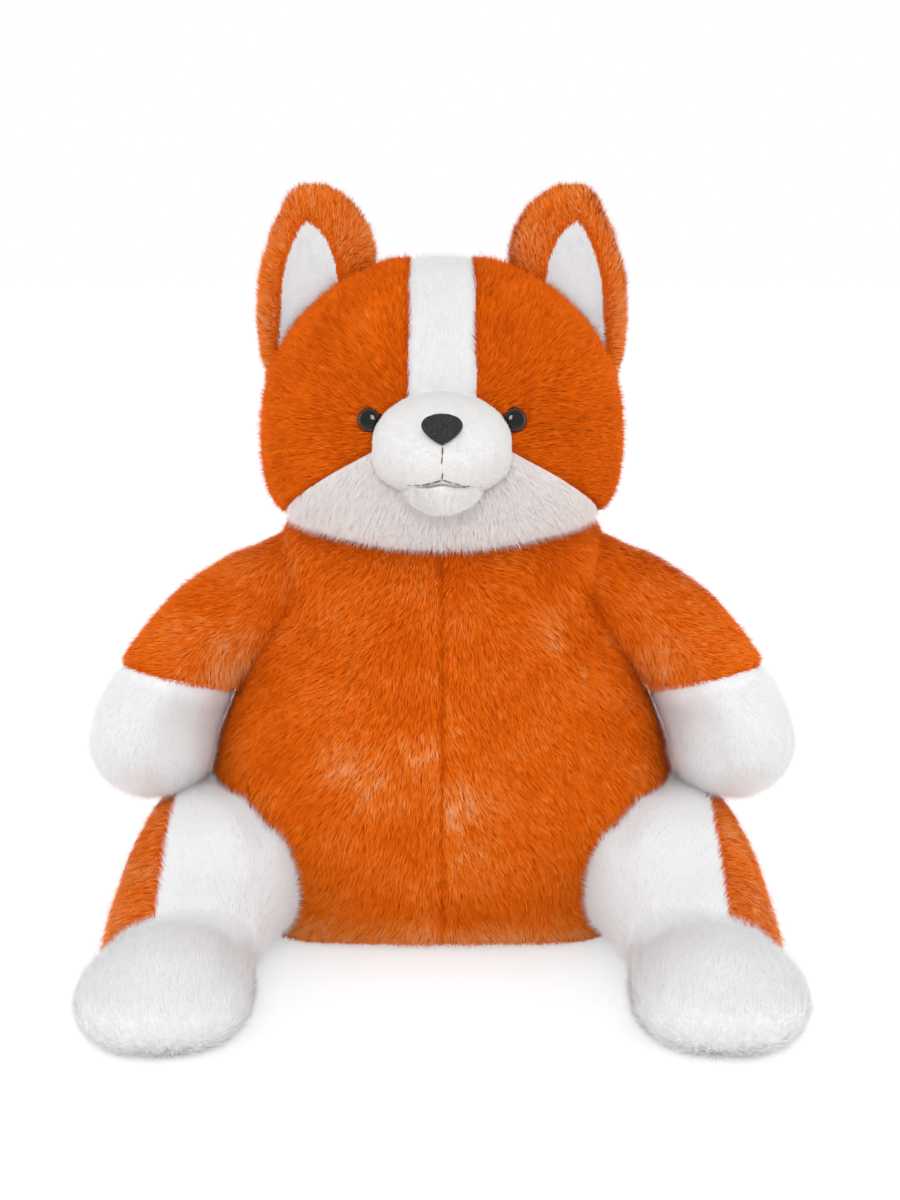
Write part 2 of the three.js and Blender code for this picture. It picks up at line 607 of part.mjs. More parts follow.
function makeEar(side, group) {
  const widest = HEAD_Z + EAR_WIDEST_UP;
  const outline = [];
  for (let i = 0; i < EAR_FACETS; i += 1) {
    const turn = (2 * Math.PI * i) / EAR_FACETS;
    const point = new THREE.Vector2(Math.cos(turn), Math.sin(turn));
    squareUp(point, EAR_SQUARENESS);
    outline.push(new THREE.Vector2(EAR_X + point.x * EAR_HALF, widest + point.y * EAR_RISE));
  }
  const front = EAR_Y - EAR_THICK / 2;
  const whole = solidOf(leafGeometry(new THREE.Shape(outline), EAR_THICK, EAR_ROUND, front));

  const liningShape = (room) => {
    const middle = EAR_X + LINING_OUT;
    const half = LINING_HALF + room;
    const top = widest + EAR_RISE - EAR_RIM + room;
    const low = widest - EAR_RISE - room;
    const shape = new THREE.Shape().moveTo(middle + LINING_OUT, top);
    const inner = middle - half;
    const outer = middle + half;
    shape.bezierCurveTo(middle + half * LINING_FULL_OUT, top - half, outer, widest, outer, widest - half);
    shape.quadraticCurveTo(outer, low, middle, low);
    shape.quadraticCurveTo(inner, low, inner, widest - half);
    shape.bezierCurveTo(inner, widest, middle - half * LINING_FULL_IN, top - half, middle + LINING_OUT, top);
    return shape;
  };
  const mid = new THREE.Vector3(0, EAR_Y, 0);
  const frontHalf = keep(whole, beyond(mid, away(Y)));
  const opening = solidOf(leafGeometry(liningShape(0), EAR_THICK, 0, front - EAR_THICK / 2));
  const liningThick = EAR_THICK / 2 - LINING_RECESS - SEAM / 2;
  const lining = solidOf(leafGeometry(liningShape(-SEAM), liningThick, 0, front + LINING_RECESS));

  // Room to fold forwards and back on the hinge line, which touches the head between the ear's corners
  const foot = earHinge();
  const headSpace = [];
  for (const share of SWING_SHARES) {
    headSpace.push(headSpaceAt(foot.pivot, foot.axis, share * EAR_SWING));
  }
  piece(`ear_${side}_back`, cut(keep(whole, beyond(mid, Y)), ...headSpace), orangePile, group);
  piece(`ear_${side}_rim`, cut(frontHalf, opening, ...headSpace), orangePile, group);
  piece(`ear_${side}_lining`, cut(lining, ...headSpace), whitePile, group);
}

function headSpaceAt(pivot, axis, degrees) {
  return solidOf(turned(headGeometry(-SEAM), pivot, axis, degrees));
}

// The ear's hinge: along the head's outline from corner to corner, at the height of its bulge
function earHinge() {
  const crownAt = (x) => {
    const flat = (x / HEAD_HALF) ** HEAD_PLAN_SQUARENESS + (EAR_Y / HEAD_DEPTH) ** HEAD_PLAN_SQUARENESS;
    const level = 1 - flat ** (CROWN_SQUARENESS / HEAD_PLAN_SQUARENESS);
    return new THREE.Vector3(x, EAR_Y, HEAD_Z + CROWN_RISE * Math.max(level, 0) ** (1 / CROWN_SQUARENESS));
  };
  const inner = crownAt(EAR_X - EAR_HALF);
  const outer = crownAt(Math.min(EAR_X + EAR_HALF * EAR_HINGE_SHARE, HEAD_HALF));
  return { pivot: crownAt(EAR_X), axis: outer.sub(inner).normalize() };
}

// Arms

function makeArm(side, group) {
  const root = new THREE.Vector3(0, ARM_ROOT_Y, NECK_Z - ARM_ROOT_DROP);
  root.x = armTop.x + ((armTop.z - root.z) * armNormal.z) / armNormal.x;
  const hand = root.clone().add(HAND);
  const curve = new THREE.CatmullRomCurve3([
    root.clone().addScaledVector(armNormal, -ARM_R),
    root,
    root.clone().add(UPPER_ARM),
    root.clone().add(FORE_ARM),
    root.clone().add(WRIST),
    hand,
  ]);
  const sizeAt = (share) => {
    const r = THREE.MathUtils.lerp(ARM_R, HAND_R, THREE.MathUtils.smoothstep(share, ...HAND_SWELL));
    return [r, r];
  };
  const arm = (inset) => solidOf(limbGeometry(curve, Y, sizeAt, ROUND, [ARM_R, HAND_R], ARM_FACETS, inset));
  const outside = beyond(armTop, armNormal, SEAM);
  const skin = keep(cut(arm(0), arm(FABRIC)), outside);
  const tilt = Math.tan(THREE.MathUtils.degToRad(PAW_TILT));
  const lean = Math.tan(THREE.MathUtils.degToRad(PAW_LEAN));
  const pawWay = new THREE.Vector3(tilt, -lean, -1).normalize();
  const pawSeam = hand.clone().addScaledVector(Z, PAW_SEAM_UP);
  piece(`arm_${side}_sleeve`, keep(skin, beyond(pawSeam, away(pawWay))), orangePile, group);
  piece(`arm_${side}_paw`, keep(skin, beyond(pawSeam, pawWay)), whitePile, group);
  piece(`arm_${side}_stuffing`, keep(arm(FABRIC + SEAM), outside), fill, group);
}

// Legs and feet

function makeLeg(side, group) {
  const curve = new THREE.CatmullRomCurve3([HIP, KNEE, ANKLE]);
  const sizeAt = (share) => {
    const ease = THREE.MathUtils.smoothstep(share, ...LEG_TAPER);
    return [
      THREE.MathUtils.lerp(THIGH_HALF, SHIN_HALF, ease),
      THREE.MathUtils.lerp(THIGH_RISE, SHIN_RISE, ease),
    ];
  };
  const footCentre = new THREE.Vector3(ANKLE.x + FOOT_OUT, ANKLE.y - FOOT_FORWARD, FOOT_TOP - FOOT_RISE);
  const footBall = (inset) => {
    const [around, along] = facets(FOOT_FACETS, inset);
    const ball = new THREE.SphereGeometry(1, around, along).rotateX(Math.PI / 2);
    reshape(ball, (point) => squareUp(point, FOOT_SQUARENESS));
    ball.scale(FOOT_HALF - inset, FOOT_LENGTH - inset, FOOT_RISE - inset);
    return solidOf(ball.translate(footCentre.x, footCentre.y, footCentre.z));
  };
  const leg = (inset) => {
    const ends = [HIP_ROUND, SHIN_RISE];
    const tube = limbGeometry(curve, Z, sizeAt, LEG_SQUARENESS, ends, LEG_FACETS, inset);
    return keep(solidOf(tube).add(footBall(inset)), beyond(new THREE.Vector3(), Z, inset));
  };

  // Room to lift on the hinge line across the front corner of the torso
  const turn = THREE.MathUtils.degToRad(LEG_AXIS_TURN);
  const axis = new THREE.Vector3(Math.cos(turn), Math.sin(turn), 0);
  const pivot = new THREE.Vector3(HIP.x, HIP.y - HIP_HINGE_FORWARD, HIP.z + THIGH_RISE);
  const torsoSpace = [];
  for (const share of LIFT_SHARES) {
    torsoSpace.push(solidOf(turned(torsoGeometry(-SEAM), pivot, axis, share * LEG_LIFT)));
  }
  const skin = cut(leg(0), leg(FABRIC), ...torsoSpace);
  const core = cut(leg(FABRIC + SEAM), ...torsoSpace);

  const ankleSeam = new THREE.Vector3(0, ANKLE.y, 0);
  const panelSeam = new THREE.Vector3(KNEE.x + LEG_PANEL_OUT, 0, 0);
  const soleSeam = new THREE.Vector3(0, 0, SOLE_RISE);
  const shank = keep(skin, beyond(ankleSeam, Y));
  const foot = keep(skin, beyond(ankleSeam, away(Y)));
  piece(`leg_${side}_outer`, keep(shank, beyond(panelSeam, X)), orangePile, group);
  piece(`leg_${side}_front`, keep(shank, beyond(panelSeam, away(X))), whitePile, group);
  piece(`foot_${side}_upper`, keep(foot, beyond(soleSeam, Z)), whitePile, group);
  piece(`foot_${side}_sole`, keep(foot, beyond(soleSeam, away(Z))), whitePile, group);
  piece(`leg_${side}_stuffing`, keep(core, beyond(ankleSeam, Y)), fill, group);
  piece(`foot_${side}_stuffing`, keep(core, beyond(ankleSeam, away(Y))), fill, group);
}

makeTorso();
makeHead();
const left = new THREE.Group();
const right = new THREE.Group();
right.scale.x = -1;
toy.add(left, right);
for (const [side, group] of [['left', left], ['right', right]]) {
  makeEar(side, group);
  makeArm(side, group);
  makeLeg(side, group);
}

export default toy;
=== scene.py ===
"""A seated plush corgi: stuffed forms under sewn panels of orange and white pile, a moulded nose,
two locked-in eyes and a stitched mouth. Metres, +Z up, the face looks along -Y."""
import itertools
import math
from dataclasses import dataclass

import bmesh
import bpy
import numpy as np
from mathutils import Matrix, Vector
from mathutils.bvhtree import BVHTree
from mathutils.kdtree import KDTree


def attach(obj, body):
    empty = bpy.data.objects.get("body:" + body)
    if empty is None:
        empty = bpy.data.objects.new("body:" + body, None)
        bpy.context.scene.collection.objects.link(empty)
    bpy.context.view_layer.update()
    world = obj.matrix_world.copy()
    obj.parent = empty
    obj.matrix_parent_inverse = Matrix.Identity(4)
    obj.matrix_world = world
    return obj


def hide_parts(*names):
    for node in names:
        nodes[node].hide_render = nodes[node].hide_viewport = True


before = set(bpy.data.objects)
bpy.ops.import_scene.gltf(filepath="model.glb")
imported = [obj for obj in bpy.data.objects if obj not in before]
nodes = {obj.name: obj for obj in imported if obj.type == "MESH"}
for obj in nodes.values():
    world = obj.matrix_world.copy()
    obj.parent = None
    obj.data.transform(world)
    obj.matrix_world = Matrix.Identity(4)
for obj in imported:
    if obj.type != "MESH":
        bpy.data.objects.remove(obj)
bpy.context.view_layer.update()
scene = bpy.context.scene

MM = 0.001
SIDES = (("left", 1), ("right", -1))

# Camera, found from the photograph: distance, height of the point it looks at, and tilt
CAMERA_DISTANCE = 1.0
CAMERA_TARGET_Z = 0.171
CAMERA_TILT = math.radians(13)
CAMERA_LENS = 55.2
CAMERA_SHIFT = 8 / 1200

# Sewing lines of the part, in metres
NECK_Z = 0.206
NECK_LIFT = 4 * MM
NECK_SIDE_LIFT = 3.5 * MM
BASE_SEAM_Z = 0.004
EAR_SEAM_TOP = Vector((0, 0.022, 0.352))
EAR_SEAM_NECK = Vector((0, -0.015, 0.206))
CHIN_TIP = Vector((0.081, -0.028, 0.227))
CHIN_CHEEK = Vector((0.056, -0.063, 0.250))
CHIN_MUZZLE = Vector((0.034, -0.072, 0.263))
BLAZE_HALF = 0.017
MUZZLE_CENTRE = np.array((0, -0.078, 0.268))
MUZZLE_HALVES = np.array((0.0345, 0.044, 0.0255))
SHOULDER_NORMAL = Vector((0.910194, 0, 0.414183))
SHOULDER_ROOT = Vector((0.084, 0, 0.176))
ROOT_SINK = 10 * MM
ARMPIT = np.array(((0.0736, 0.192), (0.1176, 0.132)))
PAW_SEAM = Vector((0.1595, -0.043, 0.1445))
PAW_WAY = Vector((math.tan(math.radians(14.5)), -math.tan(math.radians(12)), -1)).normalized()
ANKLE_Y = -0.136
LEG_PANEL_X = 0.1385
SOLE_Z = 0.022


# Shader maths


class Wire:
    """A socket that can be used in sums"""

    def __init__(self, net, socket):
        self.net = net
        self.socket = socket

    def maths(self, operation, *values):
        return self.net.node("ShaderNodeMath", {"operation": operation}, *values)

    def __add__(self, other):
        return self.maths("ADD", self, other)

    __radd__ = __add__

    def __mul__(self, other):
        return self.maths("MULTIPLY", self, other)

    __rmul__ = __mul__

    def __pow__(self, other):
        return self.maths("POWER", self, other)

    def at_most(self, other):
        return self.maths("MINIMUM", self, other)

    def output(self, name):
        """Another output of the same node"""
        return Wire(self.net, self.socket.node.outputs[name])


class Net:
    """The nodes of one material, or of the world"""

    def __init__(self, tree):
        self.tree = tree

    def node(self, kind, settings, *values, out=0, **named):
        """Adds a node, sets it up, then feeds its sockets with numbers, colours or wires"""
        made = self.tree.nodes.new(kind)
        for name, value in settings.items():
            if name == "stops":
                set_stops(made.color_ramp, value)
            else:
                setattr(made, name, value)
        for key, value in [*enumerate(values), *named.items()]:
            socket = made.inputs[key if isinstance(key, int) else key.replace("_", " ")]
            if isinstance(value, Wire):
                self.feed(value, socket)
            elif value is not None:
                socket.default_value = value
        return Wire(self, made.outputs[out])

    def blended(self, share, a, b):
        return self.node("ShaderNodeMix", {"data_type": "RGBA"}, share, *[None] * 5, a, b, out=2)

    def feed(self, wire, socket):
        self.tree.links.new(wire.socket, socket)

    def seen_directly(self):
        """1 for what the camera sees itself, in a mirror or through glass"""
        rays = self.node("ShaderNodeLightPath", {})
        seen = rays.output("Is Camera Ray") + rays.output("Is Glossy Ray")
        seen = seen + rays.output("Is Transmission Ray")
        return seen.at_most(1.0)


def set_stops(ramp, stops):
    while len(ramp.elements) < len(stops):
        ramp.elements.new(1)
    for element, (place, colour) in zip(ramp.elements, stops):
        element.position = place
        element.color = (*colour, 1)


def linear(*srgb):
    """A colour as it is read off a picture, 0 to 255, in the numbers that a shader takes"""
    shares = [value / 255 for value in srgb]
    return tuple(x / 12.92 if x <= 0.04045 else ((x + 0.055) / 1.055) ** 2.4 for x in shares)


def new_material(name, roughness, **constants):
    material = bpy.data.materials.new(name)
    material.use_nodes = True
    shader = material.node_tree.nodes["Principled BSDF"]
    shader.inputs["Roughness"].default_value = roughness
    for key, value in constants.items():
        shader.inputs[key.replace("_", " ")].default_value = value
    return material, Net(material.node_tree), shader


def pile_material(name, shaded_roots, tips, sheen=0.2, tint=(1, 1, 1)):
    """Pile, coloured by its own map: tone across from dark to pale, and from root to tip upwards, the roots
    darker as painted shade
    """
    material, net, shader = new_material(
        name, 0.8, Sheen_Weight=sheen, Sheen_Roughness=0.4, Sheen_Tint=(*tint, 1),
        Specular_IOR_Level=0.05,
    )
    uv = net.node("ShaderNodeUVMap", {"uv_map": "OFBake"})
    tone = net.node("ShaderNodeSeparateXYZ", {}, uv)
    root = net.node("ShaderNodeValToRGB", {"stops": shaded_roots}, tone)
    tip = net.node("ShaderNodeValToRGB", {"stops": tips}, tone)
    # Darker towards the roots: painted shade between the fibres
    net.feed(net.blended(tone.output("Y") ** 0.7, root, tip), shader.inputs["Base Color"])
    return material


# Stuffed forms


def link(name, mesh):
    made = bpy.data.objects.new(name, mesh)
    scene.collection.objects.link(made)
    return made


def points_of(mesh):
    found = np.empty(len(mesh.vertices) * 3, np.float32)
    mesh.vertices.foreach_get("co", found)
    return found.reshape(-1, 3).astype(float)


def normals_of(mesh):
    found = np.empty(len(mesh.vertices) * 3, np.float32)
    mesh.vertex_normals.foreach_get("vector", found)
    return found.reshape(-1, 3).astype(float)


def set_points(mesh, points):
    mesh.vertices.foreach_set("co", points.astype(np.float32).ravel())
    mesh.update()


def as_made(form):
    """The form's mesh with its modifiers, in place of what it had"""
    depsgraph = bpy.context.evaluated_depsgraph_get()
    made = bpy.data.meshes.new_from_object(form.evaluated_get(depsgraph))
    form.modifiers.clear()
    form.data = made


def smooth(mesh, times):
    axes = dict(use_axis_x=True, use_axis_y=True, use_axis_z=True)
    bm = bmesh.new()
    bm.from_mesh(mesh)
    for _ in range(times):
        bmesh.ops.smooth_vert(bm, verts=bm.verts, factor=0.5, **axes)
    bm.to_mesh(mesh)
    bm.free()


def stuffed(name, parts, voxel, smoothing, swell=0.0, reshape=None):
    """One closed form from CAD solids: joined, remeshed, rounded and blown up like a filled cover"""
    bm = bmesh.new()
    for part in parts:
        bm.from_mesh(nodes[part].data)
    bmesh.ops.remove_doubles(bm, verts=bm.verts, dist=0.01 * MM)
    mesh = bpy.data.meshes.new(name)
    bm.to_mesh(mesh)
    bm.free()
    form = link(name, mesh)
    remesh = form.modifiers.new("remesh", "REMESH")
    remesh.mode = "VOXEL"
    remesh.voxel_size = voxel
    as_made(form)
    smooth(form.data, smoothing)
    if swell:
        blow_up(form, swell)
    if reshape:
        set_points(form.data, reshape(points_of(form.data)))
    finer = form.modifiers.new("finer", "SUBSURF")
    finer.levels = finer.render_levels = 1
    as_made(form)
    return form


PRESSURE = 4.0
STRETCH = 4.0
PUFF_FRAMES = 20


def blow_up(form, cap):
    """Cloth under the filling's pressure: each point moves out as far as the cover gives, up to a cap"""
    rest = points_of(form.data)
    out = normals_of(form.data)
    cover = form.modifiers.new("cover", "CLOTH")
    cover.settings.use_pressure = True
    cover.settings.uniform_pressure_force = PRESSURE
    cover.settings.tension_stiffness = cover.settings.compression_stiffness = STRETCH
    cover.settings.effector_weights.gravity = 0
    for step in range(1, PUFF_FRAMES + 1):
        scene.frame_set(step)
    depsgraph = bpy.context.evaluated_depsgraph_get()
    moved = points_of(form.evaluated_get(depsgraph).data) - rest
    form.modifiers.clear()
    scene.frame_set(1)
    swollen = np.clip((moved * out).sum(axis=1, keepdims=True), 0, cap)
    set_points(form.data, rest + out * swollen)


class Skin:
    """A form cut along its sewing lines, with a furrow along each, ready for its pile"""

    def __init__(self, form, planes, panel_at, furrow=2.0 * MM, furrow_width=3.5 * MM):
        bm = bmesh.new()
        bm.from_mesh(form.data)
        for point, normal, where in planes:
            faces = [f for f in bm.faces if where is None or where(f.calc_center_median())]
            edges = {e for f in faces for e in f.edges}
            verts = {v for f in faces for v in f.verts}
            geometry = [*faces, *edges, *verts]
            bmesh.ops.bisect_plane(bm, geom=geometry, dist=0.2 * MM, plane_co=point, plane_no=normal)
        bmesh.ops.triangulate(bm, faces=bm.faces)
        bm.faces.ensure_lookup_table()
        bm.normal_update()
        panel = [panel_at(f.calc_center_median()) for f in bm.faces]
        self.panel = np.array(panel)
        seams = []
        for edge in bm.edges:
            kinds = {panel[f.index] for f in edge.link_faces}
            if len(kinds) > 1:
                a, b = (v.co for v in edge.verts)
                seams.extend([a.copy(), b.copy(), (a + b) / 2])
        self.points = np.array([v.co[:] for v in bm.verts])
        self.normals = np.array([v.normal[:] for v in bm.verts])
        self.faces = np.array([[v.index for v in f.verts] for f in bm.faces])
        bm.free()
        self.seam = np.full(len(self.points), 1.0)
        if seams:
            tree = KDTree(len(seams))
            for i, place in enumerate(seams):
                tree.insert(place, i)
            tree.balance()
            self.seam = np.array([tree.find(place)[2] for place in self.points])
        self.depth = furrow * np.exp(-((self.seam / furrow_width) ** 2))
        self.sunk = self.points - self.normals * self.depth[:, None]


def plane_side(point, normal):
    return lambda place: (place - point).dot(normal)


# Pile: fibres that stand on a panel, lean with its nap and gather in tufts


def fibre(lengths):
    """One fibre, a blade of some lengths up to a point: side and height of its corners, and its faces"""
    bm = bmesh.new()
    bmesh.ops.create_grid(bm, x_segments=1, y_segments=lengths, size=1)
    top = [v for v in bm.verts if v.co.y > 0.9]
    bmesh.ops.pointmerge(bm, verts=top, merge_co=(0, 1, 0))
    bm.verts.index_update()
    side = np.array([v.co.x for v in bm.verts])
    along = np.array([(v.co.y + 1) / 2 for v in bm.verts])
    faces = [[v.index for v in f.verts] for f in bm.faces]
    bm.free()
    return side, along, faces


LONG_FIBRE = fibre(2)
SHORT_FIBRE = fibre(1)


def unit(vectors):
    return vectors / np.maximum(np.linalg.norm(vectors, axis=1, keepdims=True), 1e-12)


def ease(values, low, high):
    """From 0 at the low value to 1 at the high one, level at both"""
    share = np.clip((values - low) / (high - low), 0, 1)
    return share * share * (3 - 2 * share)


WAVES = 9


def waves(points, size, seed):
    """A smooth random field from about -1 to 1 with features of this size"""
    rng = np.random.default_rng(seed)
    ways = unit(rng.normal(size=(WAVES, 3))) * rng.uniform(0.6, 1.5, (WAVES, 1)) * 2 * math.pi / size
    phases = rng.uniform(0, 2 * math.pi, WAVES)
    return np.sin(points @ ways.T + phases).sum(axis=1) / math.sqrt(WAVES)


# How all pile is alike: spread of its lengths and angles, where a fibre bends, and how guard hairs differ
LENGTH_SPREAD = (0.75, 1.15)
WIDTH_SPREAD = (0.7, 1.2)
RISE_SPREAD = 9
FALL_SPREAD = 8
BEND_SHARE = 0.45
ROOT_DEPTH = 0.4 * MM
FLOOR_GAP = 0.4 * MM
GUARD_LENGTH = 1.2
GUARD_WIDTH = 0.5
GUARD_RISE = 16
GUARD_FALL = 38

# Beside a seam the pile is shorter, and darker in a narrower strip, painted shade of the seam's furrow
SEAM_REACH = 5 * MM
SEAM_SHADE_REACH = 3 * MM
SEAM_SHADE = 0.26

# Sizes of the slow swirls and the painted sheen patches, and how far a fibre's light may come from below
SWIRL_SIZE = 55 * MM
SHEEN_PATCH_SIZE = 38 * MM
LOWEST_FACING = -0.3


@dataclass
class Pile:
    """How a panel's pile is made, lengths in millimetres and angles in degrees from the panel's normal"""

    material: bpy.types.Material
    slot: str
    length: float
    width: float
    rise: float
    fall: float
    density: float
    comb: object
    tuft: float = 3.0
    pull: float = 0.4
    swirl: float = 18
    stray: float = 12
    tone: float = 0.5
    sheen_patch: float = 0.07
    bare: object = None
    seam_share: float = 0.55
    soft: float = 0.75
    vary: float = 1.0
    guard: float = 0.22
    # A panel's painted light and shade, added to its tone by root place
    painted_light_and_shade: object = None
    stretch: object = None
    fibre: tuple = LONG_FIBRE


def grow(skin, kind, pile, seed):
    """The fibres of one panel: corner points and map places, each an array by fibre and corner"""
    rng = np.random.default_rng(seed)
    faces = skin.faces[skin.panel == kind]
    a, b, c = (skin.sunk[faces[:, k]] for k in range(3))
    area = np.linalg.norm(np.cross(b - a, c - a), axis=1) / 2
    count = int(area.sum() / MM**2 * pile.density)
    picked = rng.choice(len(faces), count, p=area / area.sum())
    share = rng.dirichlet((1, 1, 1), count)
    corners = faces[picked]

    def mean(values):
        return (values[corners] * share.reshape(count, 3, *[1] * (values.ndim - 1))).sum(axis=1)

    root = mean(skin.sunk)
    normal = unit(mean(skin.normals))
    seam = mean(skin.seam)
    if pile.bare is not None:
        kept = ~pile.bare(root, normal)
        root, normal, seam = root[kept], normal[kept], seam[kept]
    count = len(root)

    # The nap, turned a little by slow swirls and by each fibre's own stray
    nap = pile.comb(root)
    nap = unit(nap - normal * (nap * normal).sum(axis=1, keepdims=True))
    turn = pile.swirl * waves(root, SWIRL_SIZE, seed + 1) + pile.stray * rng.normal(size=count)
    turn = np.radians(turn)[:, None]
    cross = np.cross(normal, nap)
    nap = nap * np.cos(turn) + cross * np.sin(turn)

    near = np.clip(seam / SEAM_REACH, 0, 1)
    length = pile.length * MM * rng.uniform(*LENGTH_SPREAD, count)
    length *= pile.seam_share + (1 - pile.seam_share) * near
    guard = rng.random(count) < pile.guard
    length *= np.where(guard, GUARD_LENGTH, 1)
    if pile.stretch is not None:
        length *= pile.stretch(root)
    rise = np.radians(pile.rise + RISE_SPREAD * rng.normal(size=count) - GUARD_RISE * guard)[:, None]
    fall = np.radians(pile.fall + FALL_SPREAD * rng.normal(size=count) - GUARD_FALL * guard)[:, None]
    low = normal * np.cos(rise) + nap * np.sin(rise)
    high = normal * np.cos(fall) + nap * np.sin(fall)
    bend = root + low * length[:, None] * BEND_SHARE
    tip = bend + high * length[:, None] * (1 - BEND_SHARE)

    # Tufts: fibres that start near each other draw together at the tip
    cell = pile.tuft * MM
    warped = root + 0.35 * cell * np.stack([waves(root, 3 * cell, seed + k) for k in (2, 3, 4)], axis=1)
    tuft = np.unique(np.floor(warped / cell).astype(np.int64), axis=0, return_inverse=True)[1].ravel()
    size = np.bincount(tuft)
    centre = np.stack([np.bincount(tuft, tip[:, k]) / size for k in range(3)], axis=1)[tuft]
    pull = pile.pull * rng.uniform(0.4, 1.2, count)[:, None]
    tip += (centre - tip) * pull
    bend += (centre - tip) * pull * 0.15
    tuft_tone = rng.normal(size=len(size))[tuft]

    across = unit(np.cross(nap, normal) + 0.35 * normal * rng.normal(size=(count, 1)))
    half_width = pile.width * MM / 2 * rng.uniform(*WIDTH_SPREAD, (count, 1))
    across = across * (half_width * np.where(guard, GUARD_WIDTH, 1)[:, None])
    spine = np.stack([root - normal * ROOT_DEPTH, bend, tip], axis=1)
    side, along, _ = pile.fibre
    step = np.round(along * 2).astype(int)
    half = side * np.where(step == 1, 0.85, 1)
    points = spine[:, step] + across[:, None] * half[None, :, None]
    points[:, :, 2] = np.maximum(points[:, :, 2], FLOOR_GAP)

    # Light falls on a fibre partly as it falls on the panel below it
    flat = np.stack([unit(np.cross(across, way)) for way in (low, low + high, high)], axis=1)
    flat *= np.sign((flat * normal[:, None]).sum(axis=2, keepdims=True))
    facing = pile.soft * normal[:, None] + (1 - pile.soft) * flat[:, step]
    facing[:, :, 2] = np.maximum(facing[:, :, 2], LOWEST_FACING)

    # Tone: painted sheen patches, random tone by tuft and fibre, painted shade beside seams, then a panel's
    # own painted light and shade
    tone = pile.sheen_patch * waves(root, SHEEN_PATCH_SIZE, seed + 5) + 0.07 * tuft_tone + 0.09 * rng.normal(size=count)
    shaded = 1 - np.clip(seam / SEAM_SHADE_REACH, 0, 1)
    tone = pile.tone + pile.vary * (tone - SEAM_SHADE * shaded)
    if pile.painted_light_and_shade is not None:
        tone += pile.painted_light_and_shade(root)
    tone = np.clip(tone, 0.03, 0.97)
    uv = np.empty((count, len(along), 2))
    uv[:, :, 0] = tone[:, None] + 0.02 * side[None]
    uv[:, :, 1] = 0.03 + 0.94 * along[None]
    return points, uv, facing


def cover_mesh(name, skin, kind, blade, fibres, maps, facing):
    """One sewn panel as a mesh: its backing cloth, then its fibres"""
    faces = skin.faces[skin.panel == kind]
    used, cloth = np.unique(faces, return_inverse=True)
    cloth = cloth.reshape(faces.shape)
    base = skin.sunk[used]
    count, corners = fibres.shape[:2]
    start = len(base) + corners * np.arange(count)[:, None]
    loops = [cloth.ravel()]
    totals = [np.full(len(cloth), 3)]
    # The backing cloth takes the dark root end of the map, painted shade
    cloth_uv = np.stack([0.35 + 0.1 * waves(base, 6 * MM, 1), 0.05 + 0.03 * waves(base, 5 * MM, 2)], axis=1)
    uvs = [cloth_uv[cloth.ravel()]]
    blades = np.concatenate([start + np.array(face)[None] for face in blade], axis=1)
    loops.append(blades.ravel())
    totals.append(np.tile([len(face) for face in blade], count))
    order = np.concatenate([np.array(face) for face in blade])
    uvs.append(maps[:, order].reshape(-1, 2))
    loops = np.concatenate(loops)
    totals = np.concatenate(totals)
    mesh = bpy.data.meshes.new(name)
    mesh.vertices.add(len(base) + count * corners)
    mesh.loops.add(len(loops))
    mesh.polygons.add(len(totals))
    mesh.vertices.foreach_set("co", np.concatenate([base, fibres.reshape(-1, 3)]).astype(np.float32).ravel())
    mesh.loops.foreach_set("vertex_index", loops.astype(np.int32))
    mesh.polygons.foreach_set("loop_start", np.concatenate([[0], np.cumsum(totals)[:-1]]).astype(np.int32))
    mesh.polygons.foreach_set("use_smooth", np.ones(len(totals), bool))
    layer = mesh.uv_layers.new(name="OFBake")
    layer.uv.foreach_set("vector", np.concatenate(uvs).astype(np.float32).ravel())
    mesh.update(calc_edges=True)
    mesh.validate()
    all_facing = unit(np.concatenate([skin.normals[used], facing.reshape(-1, 3)]))
    mesh.normals_split_custom_set_from_vertices(all_facing.astype(np.float32))
    return mesh


panel_numbers = itertools.count(1)


def sew(skin, kind, pile, body, *replaced):
    """A panel with its pile, which rides on a body and stands for its CAD solids"""
    grown = grow(skin, kind, pile, 100 * next(panel_numbers))
    cover = link(f"{kind}_pile", cover_mesh(kind, skin, kind, pile.fibre[2], *grown))
    cover.data.materials.append(pile.material)
    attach(cover, body)
    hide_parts(*(replaced or (kind,)))
    return cover


FILLING_GAP = 3.0 * MM


def filling(form, body, *replaced):
    """What the form holds: loose fibre, a little smaller than its cover"""
    set_points(form.data, points_of(form.data) - normals_of(form.data) * FILLING_GAP)
    thin = form.modifiers.new("thin", "DECIMATE")
    thin.ratio = 0.25
    as_made(form)
    form.name = form.name.replace("_form", "_filling")
    form.data.materials.clear()
    form.data.materials.append(wadding)
    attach(form, body)
    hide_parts(*replaced)


# Finishes

# The orange runs from dark to a pale peach; the peach end is painted sheen
orange = pile_material(
    "orange_pile",
    shaded_roots=[(0, linear(150, 53, 2)), (0.5, linear(212, 90, 4)), (1, linear(230, 119, 42))],
    tips=[
        (0, linear(204, 77, 2)), (0.5, linear(246, 112, 6)), (0.8, linear(248, 142, 56)),
        (1, linear(249, 173, 118)),
    ],
    sheen=0.08, tint=linear(255, 170, 110),
)
# The white's pinkish-grey low end, used by the chin, is painted shade and orange bounce light
white = pile_material(
    "white_pile",
    shaded_roots=[
        (0, linear(241, 229, 224)), (0.3, linear(227, 227, 228)), (0.6, linear(240, 240, 241)),
        (1, linear(252, 252, 253)),
    ],
    tips=[
        (0, linear(247, 238, 234)), (0.3, linear(232, 232, 233)), (0.6, linear(243, 243, 244)),
        (1, linear(253, 253, 254)),
    ],
)
